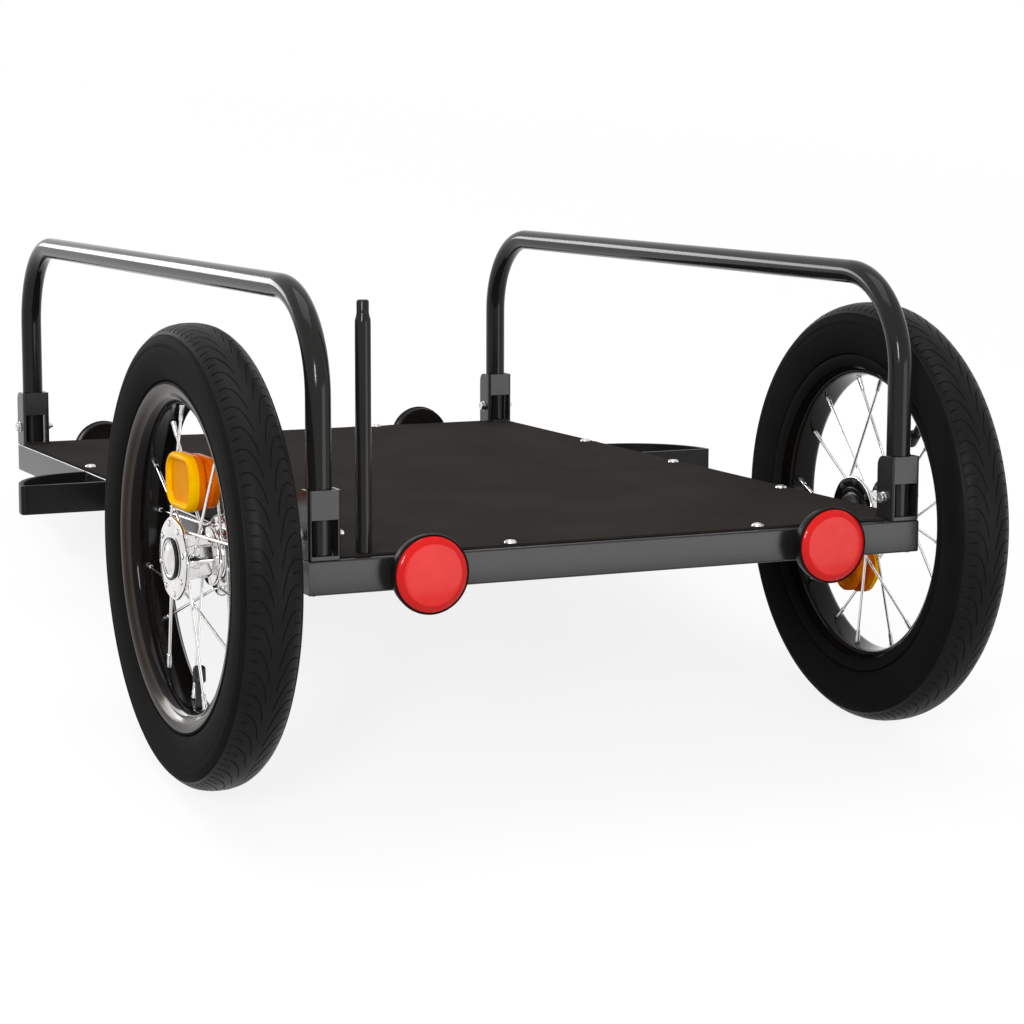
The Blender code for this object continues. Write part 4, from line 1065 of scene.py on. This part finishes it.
def build_valve(name, side, place):
    """A rubber valve stem that thickens at the rim, with a ribbed cap."""
    start = VALVE_LENGTH - 0.012

    def ribbed(radius):
        return lambda angle: radius - 0.00035 * (0.5 + 0.5 * math.cos(14 * angle))

    profile = [(0.0, 0), (0.0, 0.0039), (0.0012, 0.0039), (0.003, 0.0035), (0.012, 0.0032), (start - 0.0012, 0.0031)]
    profile += [(start - 0.001, 0.0036), (start, 0.0036), (start, 0.0047), (start + 0.0008, 0.0049), (start + 0.0018, 0.0049)]
    profile += [(start + 0.0024, ribbed(0.0049)), (VALVE_LENGTH - 0.0024, ribbed(0.0048)), (VALVE_LENGTH - 0.0016, 0.0046)]
    profile += [(VALVE_LENGTH - 0.0006, 0.0041), (VALVE_LENGTH, 0.0032), (VALVE_LENGTH, 0)]
    shape = Shape()
    shape.turned(profile, 84, radial_place(place, VALVE_ANGLE, RIM_RADIUS - RIM_DEPTH - 0.0006))
    add_piece(name + "_stem", shape, "rubber", wheel_body(name), wheel_matrix(side), [name], smooth=40.0)


def build_amber(name, side, place):
    """The spoke reflector: an outer plate with a sunk field inside its border, a waist, and a ribbed inner plate."""

    def put(x, u, v):
        r = AMBER_RADIUS + v
        return place(x, math.hypot(r, u), AMBER_ANGLE + math.atan2(u, r))

    levels = [(0.0118, 0.0094, 0.0062), (0.0118, 0.0086, 0.0056), (0.014, 0.0072, 0.0046), (0.0147, 0.0064, 0.004)]
    levels += [(0.015, 0.0052, 0.0032), (0.0148, 0.0036, 0.0022), (0.014, 0.0014, 0.001), (0.013, 0.0004, 0.0003)]
    levels += [(0.0122, 0.0, 0.0), (0.0086, 0.0, 0.0), (0.0083, 0.0004, 0.0004), (0.0042, 0.0004, 0.0004)]
    levels += [(0.0035, 0.0008, 0.0008), (0.0035, 0.005, 0.005)]
    levels += [(-0.002, 0.005, 0.005), (-0.002, 0.0024, 0.0024), (-0.0026, 0.002, 0.002), (-0.0072, 0.0024, 0.0024)]
    levels += [(-0.0083, 0.0032, 0.0032), (-0.009, 0.0046, 0.0046), (-0.009, 0.0064, 0.0064), (-0.0078, 0.0072, 0.0072)]
    rings = []
    for x, inset_u, inset_v in levels:
        corner = max(0.018 - inset_u, 0.003)
        outline = rounded_rectangle(0.064 - 2 * inset_u, 0.042 - 2 * inset_v, corner, 10)
        rings.append([put(x, u, v) for u, v in outline])
    shape = Shape()
    shape.rings(rings)

    def choose(centre):
        out = side * centre.x
        return 2 if out < 0.0085 else int(0.0117 < out < 0.0119)

    look = {"others": ["amber_field", "amber_back"], "choose": choose}
    add_piece(name + "_lenses", shape, "amber", wheel_body(name), wheel_matrix(side), [name], smooth=32.0, **look)


def build_wheels():
    for side_name, side in SIDES.items():
        place = wheel_place(side, WHEEL_TURNS[side_name])
        build_tyre("tyre_" + side_name, side, WHEEL_TURNS[side_name])
        build_rim("rim_" + side_name, side, place)
        build_spokes(side_name, side, place)
        build_hub("hub_" + side_name, side, place)
        build_dust_cap("dust_cap_outer_" + side_name, side, place, 1)
        build_dust_cap("dust_cap_inner_" + side_name, side, place, -1)
        build_valve("valve_" + side_name, side, place)
        build_amber("spoke_reflector_" + side_name, side, place)
        build_axle("axle_" + side_name, side)


def build_chassis():
    build_frame()
    build_welds()
    build_deck()
    build_screws()
    build_post()
    build_bracket_bolts()
    for side_name, side in SIDES.items():
        build_bracket("bracket_rear_" + side_name, side, 0.0)
        build_bracket("bracket_front_" + side_name, side, FRAME_LENGTH - BRACKET_DEPTH)
        build_hoop("hoop_" + side_name, side)
        build_guard("wheel_guard_" + side_name, side)
        build_reflector("reflector_rear_" + side_name, side * REFLECTOR_X, 0.0, -1, "red")
        build_reflector("reflector_front_" + side_name, side * REFLECTOR_X, FRAME_LENGTH, 1, "clear")


# The studio


def add_camera():
    """The photograph's camera, given in the level frame."""
    data = bpy.data.cameras.new("camera")
    data.sensor_width = 36.0
    data.lens = 98.08
    data.clip_start, data.clip_end = 0.05, 100.0
    camera = bpy.data.objects.new("camera", data)
    bpy.context.scene.collection.objects.link(camera)
    right = Vector((0.90646266, -0.422278, 0.00259707))
    up = Vector((0.05738718, 0.12927572, 0.98994672))
    forward = Vector((0.41836845, 0.89720069, -0.14141696))
    level = Matrix((right, up, -forward)).transposed().to_4x4()
    level.translation = Vector((-0.94765, -1.82509, 0.31429))
    camera.matrix_world = PARK @ level
    bpy.context.scene.camera = camera


def add_light(name, place, target, size, energy):
    """A soft square lamp that faces its target."""
    data = bpy.data.lights.new(name, "AREA")
    data.shape = "RECTANGLE"
    data.size, data.size_y = size
    data.energy = energy
    lamp = bpy.data.objects.new(name, data)
    bpy.context.scene.collection.objects.link(lamp)
    lamp.location = place
    lamp.rotation_mode = "QUATERNION"
    lamp.rotation_quaternion = (Vector(target) - Vector(place)).to_track_quat("-Z", "Y")
    return lamp


def add_world(ambient):
    """White to the camera and in reflections, and a softer white as light."""
    world = bpy.data.worlds.new("studio")
    bpy.context.scene.world = world
    world.use_nodes = True
    tree = world.node_tree
    background = tree.nodes["Background"]
    background.inputs["Color"].default_value = (1.0, 1.0, 1.0, 1.0)
    rays = tree.nodes.new("ShaderNodeLightPath")
    seen = rays.outputs["Is Camera Ray"]
    for other in ("Is Glossy Ray", "Is Transmission Ray"):
        either = tree.nodes.new("ShaderNodeMath")
        either.operation = "MAXIMUM"
        tree.links.new(seen, either.inputs[0])
        tree.links.new(rays.outputs[other], either.inputs[1])
        seen = either.outputs[0]
    strength = tree.nodes.new("ShaderNodeMapRange")
    strength.inputs["To Min"].default_value = ambient
    strength.inputs["To Max"].default_value = 1.0
    tree.links.new(seen, strength.inputs["Value"])
    tree.links.new(strength.outputs["Result"], background.inputs["Strength"])


def add_floor():
    mesh = bpy.data.meshes.new("floor")
    reach = 20.0
    mesh.from_pydata([(-reach, -reach, 0), (reach, -reach, 0), (reach, reach, 0), (-reach, reach, 0)], [], [(0, 1, 2, 3)])
    made = bpy.data.materials.new("pale_floor")
    made.use_nodes = True
    nodes, links = made.node_tree.nodes, made.node_tree.links
    shader = nodes["Principled BSDF"]
    shader.inputs["Roughness"].default_value = 0.9
    shader.inputs["Specular IOR Level"].default_value = 0.0
    shader.inputs["Emission Color"].default_value = (1.0, 1.0, 1.0, 1.0)
    coords = nodes.new("ShaderNodeTexCoord")
    distance = nodes.new("ShaderNodeVectorMath")
    distance.operation = "LENGTH"
    links.new(coords.outputs["Object"], distance.inputs[0])
    near = nodes.new("ShaderNodeMapRange")
    near.inputs["From Min"].default_value, near.inputs["From Max"].default_value = 0.9, 2.6
    near.inputs["To Min"].default_value, near.inputs["To Max"].default_value = 0.15, 0.0
    links.new(distance.outputs["Value"], near.inputs["Value"])
    links.new(near.outputs["Result"], shader.inputs["Base Color"])
    rays = nodes.new("ShaderNodeLightPath")
    seen = nodes.new("ShaderNodeMath")
    seen.operation = "SUBTRACT"
    seen.inputs[0].default_value = 1.0
    links.new(rays.outputs["Is Diffuse Ray"], seen.inputs[1])
    fill = nodes.new("ShaderNodeMath")
    fill.operation = "SUBTRACT"
    fill.inputs[0].default_value = 1.0
    links.new(near.outputs["Result"], fill.inputs[1])
    glow = nodes.new("ShaderNodeMath")
    glow.operation = "MULTIPLY"
    links.new(seen.outputs[0], glow.inputs[0])
    links.new(fill.outputs[0], glow.inputs[1])
    links.new(glow.outputs[0], shader.inputs["Emission Strength"])
    mesh.materials.append(made)
    floor = bpy.data.objects.new("floor", mesh)
    bpy.context.scene.collection.objects.link(floor)
    floor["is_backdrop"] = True


def build_studio():
    bpy.context.scene.view_settings.view_transform = "Standard"
    add_camera()
    add_world(0.7)
    add_floor()
    middle = (0.0, 0.0, 0.15)
    add_light("right_rear", (1.15, -2.65, 0.45), middle, (1.6, 1.3), 18.0)
    add_light("left_rear", (-1.6, -2.1, 1.45), middle, (0.4, 0.7), 32.0)
    add_light("front_left_low", (-1.3, 2.5, 0.35), middle, (1.5, 0.7), 26.0)
    add_light("overhead", (-0.4, 0.3, 2.6), middle, (1.8, 1.8), 22.5)


build_chassis()
build_wheels()
build_studio()
model_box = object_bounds()
boxes = {"cad": cad_box, "visual": model_box}
{name: [list(corner) for corner in box] for name, box in boxes.items()}
